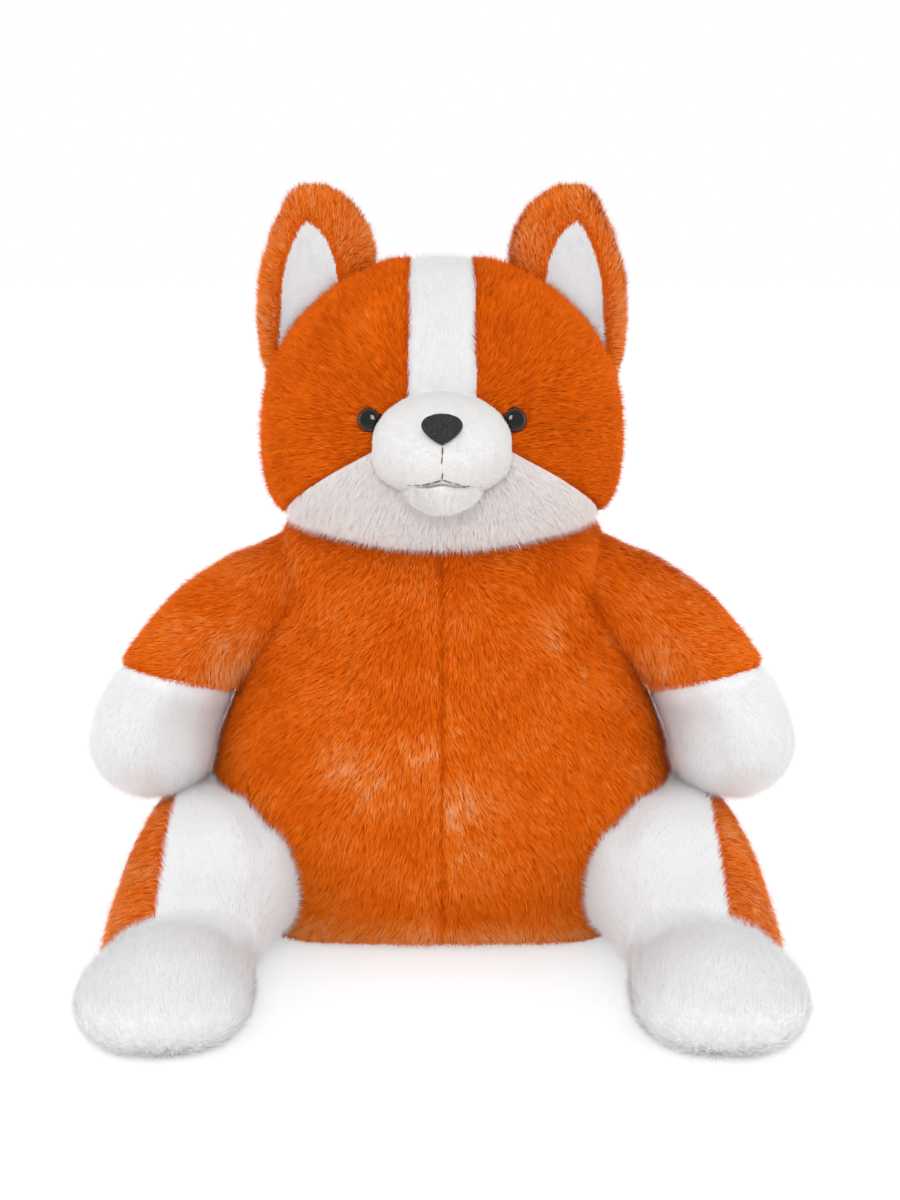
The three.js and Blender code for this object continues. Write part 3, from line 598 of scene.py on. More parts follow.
# A duller white for the muzzle, painted shade that keeps the part nearest the key lamp from showing
# brighter; its pale end is for the lip
short_white = pile_material(
    "white_short_pile",
    shaded_roots=[(0, linear(214, 212, 210)), (0.5, linear(226, 225, 224)), (1, linear(243, 242, 241))],
    tips=[(0, linear(226, 225, 224)), (0.5, linear(232, 232, 231)), (1, linear(251, 250, 249))],
)


def make_wadding():
    material, net, shader = new_material("wadding", 0.95, Sheen_Weight=0.3)
    place = net.node("ShaderNodeTexCoord", {}, out=3)
    cloud = net.node("ShaderNodeTexNoise", {}, place, Scale=120.0, Detail=4.0)
    tint = net.blended(cloud, (*linear(226, 222, 212), 1), (*linear(246, 244, 238), 1))
    net.feed(tint, shader.inputs["Base Color"])
    return material


wadding = make_wadding()


# Nap: which way each part is combed


def nap_torso(points):
    out = np.tanh(points[:, 0] / 0.03) * 0.55
    return np.stack([out, np.zeros(len(points)), -np.ones(len(points))], axis=1)


def nap_head(points):
    """Away from the muzzle, and a little over the edge of the blaze"""
    away = unit(points - (MUZZLE_CENTRE + (0, 0.02, 0))) + np.array((0, 0.5, 0))
    edge = np.exp(-(((np.abs(points[:, 0]) - BLAZE_HALF) / (3 * MM)) ** 2)) * (points[:, 1] < 0.02)
    away[:, 0] -= 0.9 * np.sign(points[:, 0]) * edge
    behind = ease(points[:, 1], -0.012, 0.03)[:, None]
    return away * (1 - 0.85 * behind) - np.array((0, 0, 1)) * behind


def nap_blaze(points):
    return np.stack([points[:, 0] * 6, np.full(len(points), 0.5), np.ones(len(points))], axis=1)


def nap_chin(points):
    out = np.tanh(points[:, 0] / 0.06) * 0.9
    return np.stack([out, np.full(len(points), 0.3), -np.ones(len(points))], axis=1)


def nap_muzzle(points):
    return points - (MUZZLE_CENTRE + (0, -0.06, 0.008))


def nap_ear(points):
    """Away from the lining's middle and up to the tip"""
    out = (np.abs(points[:, 0]) - 0.0695) / 0.02 * np.sign(points[:, 0])
    up = (points[:, 2] - 0.318) / 0.03 + 0.5
    return np.stack([out, np.zeros(len(points)), up], axis=1)


def combed(out, back, up):
    """A nap that lies the same way all over, with its sideways part towards the toy's outer side"""

    def nap(points):
        way = np.tile((out, back, float(up)), (len(points), 1))
        way[:, 0] *= np.sign(points[:, 0])
        return way

    return nap


# Arms, paws and the legs' outer sides are combed down, thighs up and across, and feet up over the toes
nap_arm = combed(0.75, 0.25, -1)
nap_paw = combed(0.3, 0.35, -1)
nap_leg = combed(0.4, 0, -1)
nap_thigh = combed(0.4, 0.7, 0.15)
nap_foot = combed(0.1, 0.6, 0.8)


# Bare places


def in_muzzle(points):
    return (((points - MUZZLE_CENTRE) / (MUZZLE_HALVES - 1.0 * MM)) ** 2).sum(axis=1) < 1


def at_eyes(points):
    return np.any([np.linalg.norm(points - seat, axis=1) < EYE_CLEARING for seat in eye_seats], axis=0)


def bare_head(points, normals):
    hidden = (points[:, 2] < NECK_Z + NECK_LIFT + 3 * MM) & (normals[:, 2] < -0.85)
    return in_muzzle(points) | at_eyes(points) | hidden


def bare_torso(points, normals):
    return (points[:, 2] > NECK_Z + NECK_LIFT - 3 * MM) & (normals[:, 2] > 0.85)


def bare_arm(points, normals):
    way = np.array(SHOULDER_NORMAL)
    facing = -(normals[:, 0] * np.sign(points[:, 0]) * way[0] + normals[:, 2] * way[2])
    return (facing > 0.9) & (np.abs(points[:, 0]) < 0.125)


def bare_back(points, normals):
    return normals[:, 1] > 0.75


def bare_front(points, normals):
    return normals[:, 1] < -0.75


# Where the eyes sit, and which way they look


EYE_CLEARING = 6.4 * MM
EYE_SINK = 3.4 * MM


def eye_line(side):
    """The way an eye's shank points, the eye's middle, and how far its points reach along that way"""
    solid = points_of(nodes[f"eye_{side}"].data)
    centre = solid.mean(axis=0)
    washer = points_of(nodes[f"eye_washer_{side}"].data).mean(axis=0)
    way = unit((centre - washer)[None])[0]
    return way, centre, (solid - centre) @ way


eye_seats = []
for side, _ in SIDES:
    way, centre, reach = eye_line(side)
    eye_seats.append(centre + way * (reach.max() - EYE_SINK))


# Painted sheen: places where the pile is drawn paler, as where it lies flat and catches the light: middle,
# reach and amount
BELLY_PAINTED_SHEEN = [((0.007, -0.085, 0.086), 0.016, 0.42), ((-0.044, -0.080, 0.111), 0.014, 0.3),
              ((-0.030, -0.085, 0.092), 0.013, 0.36), ((-0.010, -0.085, 0.114), 0.012, 0.3),
              ((0.012, -0.085, 0.066), 0.013, 0.3), ((0.055, -0.065, 0.165), 0.012, 0.25)]
# Below this height the torso's pile is drawn paler, painted sheen along the bottom edge
PAINTED_SHEEN_EDGE_Z = 0.024


# Painted sheen on the belly and along the bottom edge, and painted shade along the armpit crease
def painted_torso_sheen_and_shade(points):
    gain = 0.36 * np.clip((PAINTED_SHEEN_EDGE_Z - points[:, 2]) / 0.014, 0, 1)
    rough = 1 + 0.5 * waves(points, 9 * MM, 71)
    for place, reach, amount in BELLY_PAINTED_SHEEN:
        gap = np.linalg.norm(points - np.array(place), axis=1)
        gain = gain + amount * np.exp(-((gap / reach) ** 2)) * rough
    # Painted shade in front of the armpit crease
    crease = np.exp(-((armpit_gap(points) / (6 * MM)) ** 2)) * ease(points[:, 2], 0.195, 0.175)
    return gain - 0.4 * crease * (points[:, 1] < 0)


def painted_sleeve_sheen(points):
    """Painted sheen on the side of a sleeve that turns towards the belly"""
    across = np.abs(points[:, 0])
    inner = np.exp(-(((across - 0.112) / 0.012) ** 2) - ((points[:, 2] - 0.142) / 0.026) ** 2)
    return 0.42 * inner * (points[:, 1] < 0) * (1 + 0.4 * waves(points, 12 * MM, 72))


def painted_chin_light(points):
    """Painted light: whiter beside the muzzle than towards the cheeks, lifting the muzzle's shade on the
    chin
    """
    return 0.06 * np.exp(-((np.abs(points[:, 0]) / 0.05) ** 2))


SNOW = dict(soft=1.0, vary=0.3, sheen_patch=0.04, pull=0.15, guard=0.27, stray=11, swirl=10, fibre=SHORT_FIBRE)
SMOOTH = {**SNOW, "guard": 0.1, "pull": 0.05, "stray": 8, "tone": 0.54}


def armpit_gap(points):
    """How far a point is, seen from the front, from the line where an arm lies against the body"""
    front = np.stack([np.abs(points[:, 0]), points[:, 2]], axis=1) - ARMPIT[0]
    along = ARMPIT[1] - ARMPIT[0]
    share = np.clip(front @ along / (along @ along), 0, 1)
    return np.linalg.norm(front - share[:, None] * along, axis=1)


def neck_lift(points):
    """How much higher the neck is than its plain solids, more at its sides"""
    return NECK_LIFT + NECK_SIDE_LIFT * ease(np.abs(points[:, 0]), 0.015, 0.06)


# Torso


def make_torso():
    panels = ["torso_front_left", "torso_front_right", "torso_back_left", "torso_back_right", "torso_base"]

    def settle(points):
        """Fuller at the shoulders, higher at the head, creased at the arms and spread on the floor"""
        across, z = np.abs(points[:, 0]), points[:, 2]
        side = np.tanh(points[:, 0] / 0.03)
        fuller = 8.5 * MM * np.exp(-(((z - 0.194) / 0.014) ** 2))
        bump = 15.5 * MM * np.exp(-(((across - 0.08) / 0.016) ** 2))
        lift = ease(z, 0.172, 0.2) * (neck_lift(points) + bump)
        crease = 6 * MM * np.exp(-((armpit_gap(points) / (6 * MM)) ** 2)) * ease(z, 0.2, 0.18)
        spread = 5 * MM * np.exp(-z / (9 * MM)) * ease(across, 0.04, 0.075)
        fillet = 5 * MM * np.exp(-(((across - 0.07) / 0.014) ** 2)) * ease(z, 0.178, 0.196)
        ahead = (crease - spread - fillet) * (points[:, 1] < 0)
        moved = points + np.stack([side * (fuller + spread), ahead, lift], axis=1)
        moved[:, 2] = np.maximum(moved[:, 2], 0.5 * MM)
        return moved

    form = stuffed("torso_form", [*panels, "torso_stuffing"], 5 * MM, 6, swell=2 * MM, reshape=settle)
    planes = [
        (Vector((0, 0, BASE_SEAM_Z)), Vector((0, 0, 1)), None),
        (Vector(), Vector((0, 1, 0)), lambda p: p.z > BASE_SEAM_Z),
        (Vector(), Vector((1, 0, 0)), lambda p: p.z > BASE_SEAM_Z),
    ]

    def panel_at(p):
        if p.z < BASE_SEAM_Z:
            return "torso_base"
        return f"torso_{'front' if p.y < 0 else 'back'}_{'left' if p.x > 0 else 'right'}"

    skin = Skin(form, planes, panel_at, furrow=1.6 * MM, furrow_width=1.9 * MM)
    coat = dict(comb=nap_torso, bare=bare_torso, seam_share=0.8)
    front = Pile(orange, "orange_pile", 6.5, 0.4, 42, 80, 1.58, painted_light_and_shade=painted_torso_sheen_and_shade, **coat)
    back = Pile(orange, "orange_pile", 7.0, 0.5, 42, 80, 0.95, **coat)
    under = Pile(orange, "orange_pile", 4.0, 0.7, 50, 82, 0.34, **coat)
    for kind in panels:
        pile = under if kind == "torso_base" else front if "front" in kind else back
        sew(skin, kind, pile, "torso")
    filling(form, "torso", "torso_stuffing")


# Head


def make_head():
    panels = ["face_left", "face_right", "blaze", "head_back_left", "head_back_right", "chin_panel"]

    def lift(points):
        """Higher at the neck and at the crown"""
        z = points[:, 2]
        up = neck_lift(points) * np.clip(1 - (z - NECK_Z) / (22 * MM), 0, 1) + 2 * MM * ease(z, 0.325, 0.35)
        return points + np.stack([up * 0, up * 0, up], axis=1)

    form = stuffed("head_form", [*panels, "head_stuffing"], 5 * MM, 6, swell=2 * MM, reshape=lift)
    back_way = (EAR_SEAM_TOP - EAR_SEAM_NECK).cross(Vector((1, 0, 0))).normalized()
    if back_way.y < 0:
        back_way.negate()
    chin_way = (CHIN_CHEEK - CHIN_TIP).cross(CHIN_MUZZLE - CHIN_TIP).normalized()
    if chin_way.z > 0:
        chin_way.negate()
    is_back = plane_side(EAR_SEAM_TOP, back_way)

    def is_chin(p):
        return (Vector((abs(p.x), p.y, p.z)) - CHIN_TIP).dot(chin_way)

    planes = [(EAR_SEAM_TOP, back_way, None), (Vector(), Vector((1, 0, 0)), lambda p: is_back(p) > 0)]
    for _, sign in SIDES:
        flip = Vector((sign, 1, 1))
        planes.append((CHIN_TIP * flip, chin_way * flip, lambda p, s=sign: is_back(p) < 0 and p.x * s > 0))
        edge = Vector((sign * BLAZE_HALF, 0, 0))
        planes.append((edge, Vector((1, 0, 0)), lambda p: is_back(p) < 0 and is_chin(p) < 0))

    def panel_at(p):
        side = "left" if p.x > 0 else "right"
        if is_back(p) > 0:
            return f"head_back_{side}"
        if is_chin(p) > 0:
            return "chin_panel"
        return "blaze" if abs(p.x) < BLAZE_HALF else f"face_{side}"

    skin = Skin(form, planes, panel_at, furrow=0.7 * MM)
    face = Pile(orange, "orange_pile", 6.5, 0.38, 40, 78, 1.9, nap_head, bare=bare_head, seam_share=0.85,
                tone=0.34, sheen_patch=0.05)
    back = Pile(orange, "orange_pile", 7.0, 0.5, 50, 80, 0.98, nap_head, bare=bare_head)
    blaze = Pile(white, "white_pile", 5.0, 0.36, 66, 82, 4.7, nap_blaze, bare=bare_head, **SMOOTH)
    # The chin sits low on the white's tone, painted shade and orange bounce light
    chin = Pile(white, "white_pile", 8.0, 0.32, 48, 76, 2.45, nap_chin, bare=bare_head, painted_light_and_shade=painted_chin_light,
                **{**SNOW, "tone": 0.08, "stray": 8, "fibre": LONG_FIBRE})
    kinds = {"blaze": blaze, "chin_panel": chin, "head_back_left": back, "head_back_right": back}
    for kind in panels:
        sew(skin, kind, kinds.get(kind, face), "head")
    filling(form, "head", "head_stuffing")


def whole(kind):
    return lambda p: kind


# The lip sits near the pale end of the short white, painted light that lifts the shade under the muzzle
LIP = dict(pull=0.1, sheen_patch=0.04, soft=1.0, vary=0.5, guard=0.1, tone=0.75, fibre=SHORT_FIBRE)
VELVET = dict(pull=0.0, sheen_patch=0.04, soft=0.95, vary=0.4, guard=0.0, stray=25, fibre=SHORT_FIBRE)


def stretch_muzzle(points):
    """Longer towards the head, so that the muzzle's edge is soft"""
    low = ease(points[:, 2], 0.262, 0.25)
    return 1 + (0.5 + 1.8 * low) * ease(points[:, 1], -0.1, -0.078)


def mouth_height(x):
    """How high the mouth's line is at a place across the muzzle"""
    return 0.2490 + 0.0070 * np.exp(-np.abs(x) / 0.0105)


def shape_muzzle(points):
    """Fuller low down at its sides, and tucked in below the mouth, where the lip is let in"""
    x, y, z = points.T
    wide = 0.13 * ease(z, 0.268, 0.25) * ease(y, -0.112, -0.09)
    below = ease(z, mouth_height(x), mouth_height(x) - 4 * MM)
    tuck = below * ease(np.abs(x), 0.024, 0.016) * ease(y, -0.08, -0.095)
    return points + np.stack([x * wide, 1.5 * MM * tuck, tuck * 0], axis=1)


LIP_CENTRE = np.array((0, -0.097, 0.247))
LIP_DEPTH = 0.010
LIP_HALF = 0.019


def shape_lip(points):
    """Square at its upper front, which rises to the fork of the mouth"""
    high = np.clip((points[:, 2] - LIP_CENTRE[2]) / LIP_DEPTH, 0, 0.92)
    square = (1 - high**4) ** 0.25 / np.sqrt(1 - high**2)
    points[:, 1] = LIP_CENTRE[1] + (points[:, 1] - LIP_CENTRE[1]) * square
    across = np.abs(points[:, 0])
    points[:, 1] += 6.5 * MM * ease(across, 0.002, 0.016) - 3.5 * MM * ease(points[:, 2], 0.241, 0.249)
    local_top = LIP_DEPTH * np.sqrt(np.maximum(1 - (across / LIP_HALF) ** 2, 0.04))
    upper = np.clip((points[:, 2] - LIP_CENTRE[2]) / local_top, 0, 1)
    target = LIP_CENTRE[2] + upper / 0.43 * (mouth_height(points[:, 0]) - LIP_CENTRE[2])
    points[:, 2] = np.where(upper > 0, target, points[:, 2])
    return points


def make_muzzle():
    form = stuffed("muzzle_form", ["muzzle_cover", "muzzle_stuffing"], 2.5 * MM, 6, reshape=shape_muzzle)
    skin = Skin(form, [], whole("muzzle_cover"))
    pile = Pile(short_white, "white_short_pile", 1.5, 0.36, 50, 80, 5.0, nap_muzzle, bare=bare_muzzle,
                stretch=stretch_muzzle, **VELVET)
    sew(skin, "muzzle_cover", pile, "head")
    make_mouth(skin)
    filling(form, "head", "muzzle_stuffing")
    lip_form = stuffed("lip_form", ["lower_lip"], 2 * MM, 4, reshape=shape_lip)
    lip = Skin(lip_form, [], whole("lower_lip"))
    pile = Pile(short_white, "white_short_pile", 3.4, 0.34, 40, 74, 6.0, nap_chin, bare=bare_muzzle, **LIP)
    sew(lip, "lower_lip", pile, "head")
    bpy.data.objects.remove(lip_form)


# Nose, eyes and mouth


LATHE_STEPS = 40


def lathe(name, profile, seat, way):
    """A turned piece: pairs of radius and height spun round an axis that starts at the seat"""
    bm = bmesh.new()
    verts = [bm.verts.new((radius, 0, height)) for radius, height in profile]
    edges = [bm.edges.new(pair) for pair in zip(verts, verts[1:])]
    bmesh.ops.spin(
        bm, geom=[*verts, *edges], axis=(0, 0, 1), cent=(0, 0, 0), angle=2 * math.pi,
        steps=LATHE_STEPS, use_merge=True,
    )
    bmesh.ops.remove_doubles(bm, verts=bm.verts, dist=0.001 * MM)
    bmesh.ops.recalc_face_normals(bm, faces=bm.faces)
    turn = Vector((0, 0, 1)).rotation_difference(Vector(way)).to_matrix().to_4x4()
    bmesh.ops.transform(bm, matrix=Matrix.Translation(Vector(seat)) @ turn, verts=bm.verts)
    for face in bm.faces:
        face.smooth = True
    mesh = bpy.data.meshes.new(name)
    bm.to_mesh(mesh)
    bm.free()
    return link(name, mesh)


def make_eye_finish():
    """Gloss black with a thin brown ring just inside its edge"""
    material, net, shader = new_material("eye_gloss", 0.02, Specular_IOR_Level=0.3)
    ring = net.node("ShaderNodeAttribute", {"attribute_name": "ring"}, out=2)
    black = linear(9, 8, 8)
    brown = linear(66, 34, 27)
    stops = [(0, black), (0.66, black), (0.8, brown), (0.92, brown), (1, black)]
    net.feed(net.node("ShaderNodeValToRGB", {"stops": stops}, ring), shader.inputs["Base Color"])
    return material


EYE_RADIUS = 6.2 * MM
EYE_DOME = 2.9 * MM
EYE_LOOK = np.array((0, -0.98, 0.2))


def make_eyes():
    finish = make_eye_finish()
    for side, _ in SIDES:
        way, centre, reach = eye_line(side)
        seat = centre + way * (reach.max() - EYE_DOME)
        ahead = unit((0.35 * way + 0.65 * EYE_LOOK)[None])[0]
        tail = reach.min() - reach.max() + EYE_DOME
        turns = [math.radians(7.5 * k) for k in range(13)]
        dome = [(EYE_RADIUS * math.sin(t) ** 0.8, EYE_DOME * math.cos(t) ** 0.9) for t in turns[:-1]]
        dome.append((EYE_RADIUS, 0))
        back = [(EYE_RADIUS * 0.94, -0.8 * MM), (1.7 * MM, -1.0 * MM), (1.7 * MM, tail), (0, tail)]
        eye = lathe(f"eye_{side}_dome", [*dome, *back], seat, ahead)
        points = points_of(eye.data) - seat
        off = np.linalg.norm(points - (points @ ahead)[:, None] * ahead, axis=1)
        ring = eye.data.attributes.new("ring", "FLOAT", "POINT")
        ring.data.foreach_set("value", (off / EYE_RADIUS).astype(np.float32))
        eye.data.materials.append(finish)
        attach(eye, "head")
        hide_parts(f"eye_{side}")


def make_nose():
    def dome(points):
        ridge = np.exp(-((points[:, 0] / (7 * MM)) ** 2))
        points[:, 2] += 0.8 * MM * ease(points[:, 2], 0.279, 0.286) * ridge
        return points

    nose = stuffed("nose_moulding", ["nose"], 0.8 * MM, 5, reshape=dome)
    material, net, shader = new_material("nose_matt", 0.7, Specular_IOR_Level=0.18)
    place = net.node("ShaderNodeTexCoord", {}, out=3)
    speck = net.node("ShaderNodeTexNoise", {}, place, Scale=1500.0, Detail=3.0, Roughness=0.7)
    stops = [(0.3, linear(22, 21, 22)), (0.5, linear(42, 41, 42)), (0.72, linear(70, 68, 68))]
    net.feed(net.node("ShaderNodeValToRGB", {"stops": stops}, speck), shader.inputs["Base Color"])
    bump = net.node("ShaderNodeBump", {}, Strength=0.35, Distance=0.0003, Height=speck)
    net.feed(bump, shader.inputs["Normal"])
    nose.data.materials.clear()
    nose.data.materials.append(material)
    for face in nose.data.polygons:
        face.use_smooth = True
    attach(nose, "head")
    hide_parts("nose")


# The mouth's stitches, from the nose down to the fork and out to each side: x and z of their ends, and for
# each stitch how far it stands out of the cover in millimetres, because some are half lost in the pile
MOUTH_DOWN = [(0.0003, 0.2722), (0.0001, 0.2680), (-0.0002, 0.2638), (0.0003, 0.2598), (0, 0.2560)]
MOUTH_RIGHT = [(0, 0.2560), (-0.0048, 0.2543), (-0.0096, 0.2524), (-0.0140, 0.2516), (-0.0175, 0.2512)]
MOUTH_LEFT = [(0, 0.2560), (0.0053, 0.2540), (0.0094, 0.2523), (0.0112, 0.2515), (0.0140, 0.2508)]
MOUTH = [
    (MOUTH_DOWN, (0.6, 0.1, -0.2, 0.3)),
    (MOUTH_RIGHT, (0.6, 0.5, 0.1, -0.1)),
    (MOUTH_LEFT, (0.3, 0.1, 0.8, 0.0)),
]
THREAD = 0.4 * MM


def make_mouth(skin):
    cover = BVHTree.FromPolygons([Vector(p) for p in skin.points], skin.faces.tolist())
    bm = bmesh.new()
    for line, heights in MOUTH:
        for a, b, height in zip(line, line[1:], heights):
            ends = [cover.ray_cast(Vector((x, -0.2, z)), Vector((0, 1, 0))) for x, z in (a, b)]
            first, second = (hit[0] + hit[1] * height * MM for hit in ends)
            way = second - first
            size = Matrix.Diagonal((THREAD, THREAD, way.length * 0.48, 1))
            turn = Vector((0, 0, 1)).rotation_difference(way).to_matrix().to_4x4()
            place = Matrix.Translation((first + second) / 2) @ turn @ size
            bmesh.ops.create_uvsphere(bm, u_segments=8, v_segments=6, radius=1, matrix=place)
    for face in bm.faces:
        face.smooth = True
    mesh = bpy.data.meshes.new("mouth_thread")
    bm.to_mesh(mesh)
    bm.free()
    mouth = link("mouth_thread", mesh)
    material, net, shader = new_material("mouth_floss", 0.7, Sheen_Weight=0.2)
    place = net.node("ShaderNodeTexCoord", {}, out=3)
    ply = net.node("ShaderNodeTexWave", {"bands_direction": "DIAGONAL"}, place, Scale=700.0, Distortion=2.0)
    tint = net.blended(ply, (*linear(62, 54, 50), 1), (*linear(104, 94, 88), 1))
    net.feed(tint, shader.inputs["Base Color"])
    mesh.materials.append(material)
    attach(mouth, "head")
    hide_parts("mouth_stitch")


def mouth_lines():
    """Points along the mouth, seen from the front, for parting the pile"""
    found = []
    for line, _ in MOUTH:
        for a, b in zip(line, line[1:]):
            found.extend(np.array(a) + (np.array(b) - a) * share for share in np.linspace(0, 1, 5))
    return np.array(found)


def bare_muzzle(points, normals):
    front = points[:, None, [0, 2]] - mouth_lines()[None]
    near = np.linalg.norm(front, axis=2).min(axis=1) < 0.5 * MM
    return (normals[:, 1] > 0.75) | (near & (normals[:, 1] < 0))


def make_washer_finish():
    material, net, shader = new_material("washer_moulding", 0.5)
    place = net.node("ShaderNodeTexCoord", {}, out=3)
    cloud = net.node("ShaderNodeTexNoise", {}, place, Scale=300.0, Detail=3.0)
    tint = net.blended(cloud, (*linear(222, 214, 200), 1), (*linear(236, 230, 218), 1))
    net.feed(tint, shader.inputs["Base Color"])
    for name in ("nose_washer", "eye_washer_left", "eye_washer_right"):
        for slot in nodes[name].material_slots:
            slot.material = material


# Ears


# Outline of an ear's lining: height, and how far out its inner and outer edges are there
LINING_Z = (0.290, 0.305, 0.320, 0.341, 0.352, 0.3626, 0.3685, 0.372)
LINING_INNER = (0.0580, 0.0565, 0.0555, 0.0545, 0.0560, 0.0600, 0.0645, 0.0700)
LINING_OUTER = (0.0875, 0.0855, 0.0845, 0.0830, 0.0805, 0.0765, 0.0735, 0.0700)


def in_lining(place):
    across = abs(place.x)
    inner, outer = (np.interp(place.z, LINING_Z, edge) for edge in (LINING_INNER, LINING_OUTER))
    return place.z < LINING_Z[-1] and inner < across < outer


EAR_MIDDLE_Y = 0.006


def round_ear(points):
    """The tip leans in and is rounder on its outer side, and both halves meet inside"""
    across, z = np.abs(points[:, 0]), points[:, 2]
    lean = np.interp(z, (0.32, 0.341, 0.3626, 0.375, 0.384), (0.3, 1.3, 2.5, 0.5, -2.0))
    outer = np.interp(z, (0.29, 0.30, 0.32, 0.341, 0.3626, 0.384), (2.0, 2.5, 0.6, 0.2, 2.5, 8.5))
    shift = (lean + outer * ease(across, 0.067, 0.09)) * MM
    points = points - np.stack([np.sign(points[:, 0]) * shift, shift * 0, shift * 0], axis=1)
    off = points[:, 1] - EAR_MIDDLE_Y
    points[:, 1] -= np.sign(off) * 2.5 * MM * ease(np.abs(off), 4 * MM, 0)
    return points


def make_ear(side, sign):
    body = f"ear_{side}"
    rim, lining, back = (f"{body}_{part}" for part in ("rim", "lining", "back"))
    # The ears sit high on the orange's tone, painted sheen on their rims and backs
    coat = dict(comb=nap_ear, tone=0.76, guard=0.36, pull=0.5, tuft=2.6)
    back_pile = Pile(orange, "orange_pile", 6.0, 0.4, 30, 62, 1.4, bare=bare_front, **coat)
    rim_pile = Pile(orange, "orange_pile", 5.5, 0.34, 32, 66, 2.8, bare=bare_back, seam_share=0.5, **coat)
    lining_pile = Pile(white, "white_pile", 4.5, 0.36, 60, 80, 5.0, nap_ear, bare=bare_back, **SMOOTH)
    form = stuffed(f"{body}_front", [rim, lining], 2.5 * MM, 7, reshape=round_ear)
    skin = Skin(form, [], lambda p: lining if in_lining(p) else rim, furrow=0.8 * MM)
    sew(skin, rim, rim_pile, body)
    sew(skin, lining, lining_pile, body)
    bpy.data.objects.remove(form)
    form = stuffed(f"{body}_rear", [back], 2.5 * MM, 7, reshape=round_ear)
    sew(Skin(form, [], whole(back), furrow=0.5 * MM), back, back_pile, body)
    bpy.data.objects.remove(form)


# Arms and legs


# How far an arm hangs outside its plain solid: height, and its inner and outer side's shift in millimetres
HANG_Z = (0.085, 0.100, 0.122, 0.140, 0.160, 0.175, 0.190)
HANG_INNER = (5.0, 9.0, 16.0, 11.5, 5.0, 1.5, 0.0)
HANG_OUTER = (4.0, 4.5, 4.0, 1.5, 1.0, -0.5, -1.5)
HAND = np.array((0.1514, 0.106))
ARM_HALF = 0.032


def hang(points):
    across, z = np.abs(points[:, 0]), points[:, 2]
    middle_line = np.interp(z, (HAND[1], 0.176), (HAND[0], 0.095))
    share = np.clip(0.5 + (across - middle_line) / (2 * ARM_HALF), 0, 1)
    inner, outer = (np.interp(z, HANG_Z, shift) for shift in (HANG_INNER, HANG_OUTER))
    shift = np.sign(points[:, 0]) * (inner + (outer - inner) * share) * MM
    return points + np.stack([shift, shift * 0, shift * 0], axis=1)


def make_arm(side, sign):
    body = f"arm_{side}"
    flip = Vector((sign, 1, 1))
    seam = PAW_SEAM * flip
    way = PAW_WAY * flip
    sleeve, paw = f"{body}_sleeve", f"{body}_paw"
    out = np.array(SHOULDER_NORMAL * flip)
    root = np.array(SHOULDER_ROOT * flip)
    up = np.array((-out[2] * sign, 0, out[0] * sign))

    def sink_root(points):
        """The sewn end goes a little into the body, and its top slopes up towards the neck"""
        far = (points - root) @ out
        top = np.clip((points - root) @ up / (25 * MM), 0, 1)
        sunk = ROOT_SINK * np.clip(1 - far / (18 * MM), 0, 1)
        rise = 17 * MM * np.exp(-((far / (22 * MM)) ** 2))
        rise += 7 * MM * np.exp(-((np.maximum(far - 10 * MM, 0) / (10 * MM)) ** 2))
        return hang(points - sunk[:, None] * out + (top * rise)[:, None] * up)

    solids = [sleeve, paw, f"{body}_stuffing"]
    form = stuffed(f"{body}_form", solids, 4 * MM, 12, swell=2 * MM, reshape=sink_root)
    is_paw = plane_side(seam, way)
    skin = Skin(form, [(seam, way, None)], lambda p: paw if is_paw(p) > 0 else sleeve)
    sleeve_pile = Pile(orange, "orange_pile", 6.5, 0.42, 58, 80, 1.6, nap_arm, bare=bare_arm,
                       painted_light_and_shade=painted_sleeve_sheen, tone=0.55)
    paw_pile = Pile(white, "white_pile", 5.5, 0.36, 62, 81, 4.2, nap_paw, tone=0.96, seam_share=0.9, **SNOW)
    sew(skin, sleeve, sleeve_pile, body)
    sew(skin, paw, paw_pile, body)
    filling(form, body, f"{body}_stuffing")


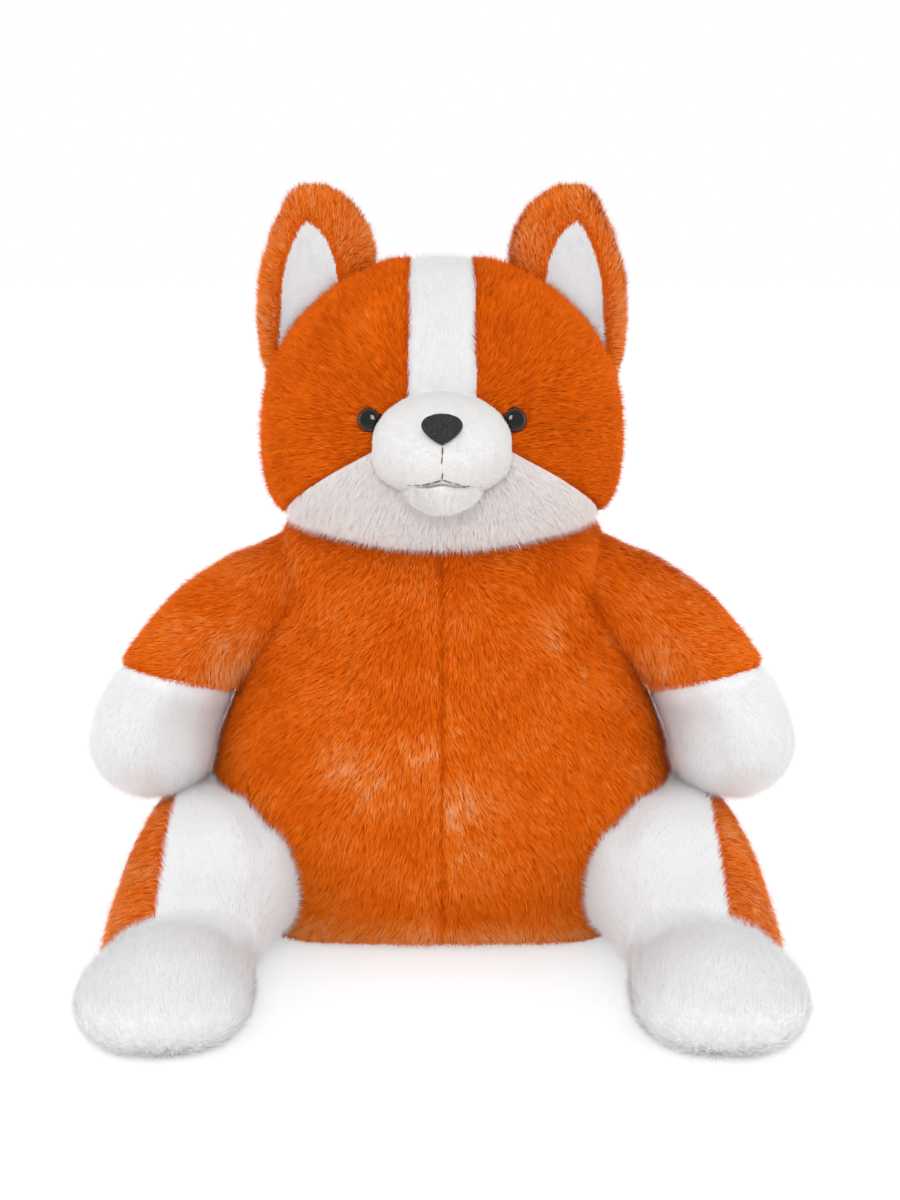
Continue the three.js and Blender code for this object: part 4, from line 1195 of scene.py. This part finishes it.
def make_leg(side, sign):
    body = f"leg_{side}"
    outer, front = f"{body}_outer", f"{body}_front"
    upper, sole = f"foot_{side}_upper", f"foot_{side}_sole"
    stuffing = [f"{body}_stuffing", f"foot_{side}_stuffing"]

    def stand(points):
        """Flat on the floor, full at the thigh, and lower on the outer side of the instep"""
        points[:, 2] += 4.5 * MM * ease(points[:, 2], 0.05, 0.085) * ease(points[:, 1], -0.125, -0.095)
        outside = ease(np.abs(points[:, 0]), 0.125, 0.155) * ease(points[:, 1], -0.115, -0.14)
        points[:, 2] -= 4 * MM * outside * ease(points[:, 2], 0.02, 0.036)
        points[:, 2] = np.maximum(points[:, 2], 0.5 * MM)
        return points

    solids = [outer, front, upper, sole, *stuffing]
    form = stuffed(f"{body}_form", solids, 4 * MM, 5, swell=2 * MM, reshape=stand)
    panel_x = Vector((sign * LEG_PANEL_X, 0, 0))
    planes = [
        (Vector((0, ANKLE_Y, 0)), Vector((0, 1, 0)), None),
        (panel_x, Vector((1, 0, 0)), lambda p: p.y > ANKLE_Y),
        (Vector((0, 0, SOLE_Z)), Vector((0, 0, 1)), lambda p: p.y < ANKLE_Y),
    ]

    def panel_at(p):
        if p.y > ANKLE_Y:
            return outer if p.x * sign > LEG_PANEL_X else front
        return upper if p.z > SOLE_Z else sole

    skin = Skin(form, planes, panel_at, furrow=0.8 * MM)
    foot = dict(comb=nap_foot, seam_share=0.8, **SNOW)
    piles = {
        # The legs' outer sides sit high on the orange's tone, painted sheen
        outer: Pile(orange, "orange_pile", 6.5, 0.44, 52, 80, 1.4, nap_leg, tone=0.74),
        front: Pile(white, "white_pile", 6.0, 0.38, 62, 81, 3.3, nap_thigh, tone=0.96, seam_share=0.95,
                    **SNOW),
        upper: Pile(white, "white_pile", 5.5, 0.36, 60, 80, 4.4, tone=0.66, **foot),
        sole: Pile(white, "white_pile", 5.0, 0.4, 62, 81, 2.7, tone=0.75, **foot),
    }
    for kind, pile in piles.items():
        sew(skin, kind, pile, body)
    filling(form, body, *stuffing)


make_torso()
make_head()
make_muzzle()
make_nose()
make_eyes()
make_washer_finish()
for side, sign in SIDES:
    make_ear(side, sign)
    make_arm(side, sign)
    make_leg(side, sign)


# Stage, light and camera


PAPER = (0.55, 0.58, 0.59, 1)
PAPER_GLOW = 0.52
WORLD_STRENGTH = 0.94
LIT_POINT = (0, 0, 0.2)


def make_floor():
    bm = bmesh.new()
    bmesh.ops.create_grid(bm, x_segments=8, y_segments=8, size=6)
    mesh = bpy.data.meshes.new("floor")
    bm.to_mesh(mesh)
    bm.free()
    floor = link("floor", mesh)
    material, net, shader = new_material("floor_paper", 1.0)
    shader.inputs["Base Color"].default_value = (0.9, 0.9, 0.9, 1)
    dim = net.node("ShaderNodeBsdfDiffuse", {}, PAPER)
    glow = net.node("ShaderNodeEmission", {}, (1, 1, 1, 1), PAPER_GLOW)
    paper = net.node("ShaderNodeAddShader", {}, dim, glow)
    plain = Wire(net, shader.outputs[0])
    mixed = net.node("ShaderNodeMixShader", {}, net.seen_directly(), plain, paper)
    net.feed(mixed, material.node_tree.nodes["Material Output"].inputs["Surface"])
    floor.data.materials.append(material)


def make_world(strength):
    world = bpy.data.worlds.new("studio")
    scene.world = world
    world.use_nodes = True
    net = Net(world.node_tree)
    background = world.node_tree.nodes["Background"]
    background.inputs["Color"].default_value = (1, 1, 1, 1)
    net.feed(strength + (1 - strength) * net.seen_directly(), background.inputs["Strength"])


def make_lamp(name, place, width, height, power):
    light = bpy.data.lights.new(name, "AREA")
    light.shape = "RECTANGLE"
    light.size = width
    light.size_y = height
    light.energy = power
    lamp = bpy.data.objects.new(name, light)
    scene.collection.objects.link(lamp)
    lamp.location = place
    lamp.rotation_euler = (Vector(LIT_POINT) - Vector(place)).to_track_quat("-Z", "Y").to_euler()


def make_camera():
    lens = bpy.data.cameras.new("photo_camera")
    lens.lens = CAMERA_LENS
    lens.sensor_width = 36
    lens.shift_x = CAMERA_SHIFT
    camera = bpy.data.objects.new("photo_camera", lens)
    scene.collection.objects.link(camera)
    back = CAMERA_DISTANCE * math.cos(CAMERA_TILT)
    up = CAMERA_DISTANCE * math.sin(CAMERA_TILT)
    camera.location = (0, -back, CAMERA_TARGET_Z + up)
    camera.rotation_euler = (math.pi / 2 - CAMERA_TILT, 0, 0)
    scene.camera = camera


make_floor()
make_world(WORLD_STRENGTH)
make_lamp("key", (-0.06, -1.95, 0.98), width=0.5, height=0.5, power=12)
make_lamp("left_side", (1.6, -0.5, 0.6), width=1.0, height=1.2, power=4)
make_lamp("right_side", (-1.6, -0.5, 0.6), width=1.0, height=1.2, power=4)
make_camera()
scene.view_settings.view_transform = "Standard"
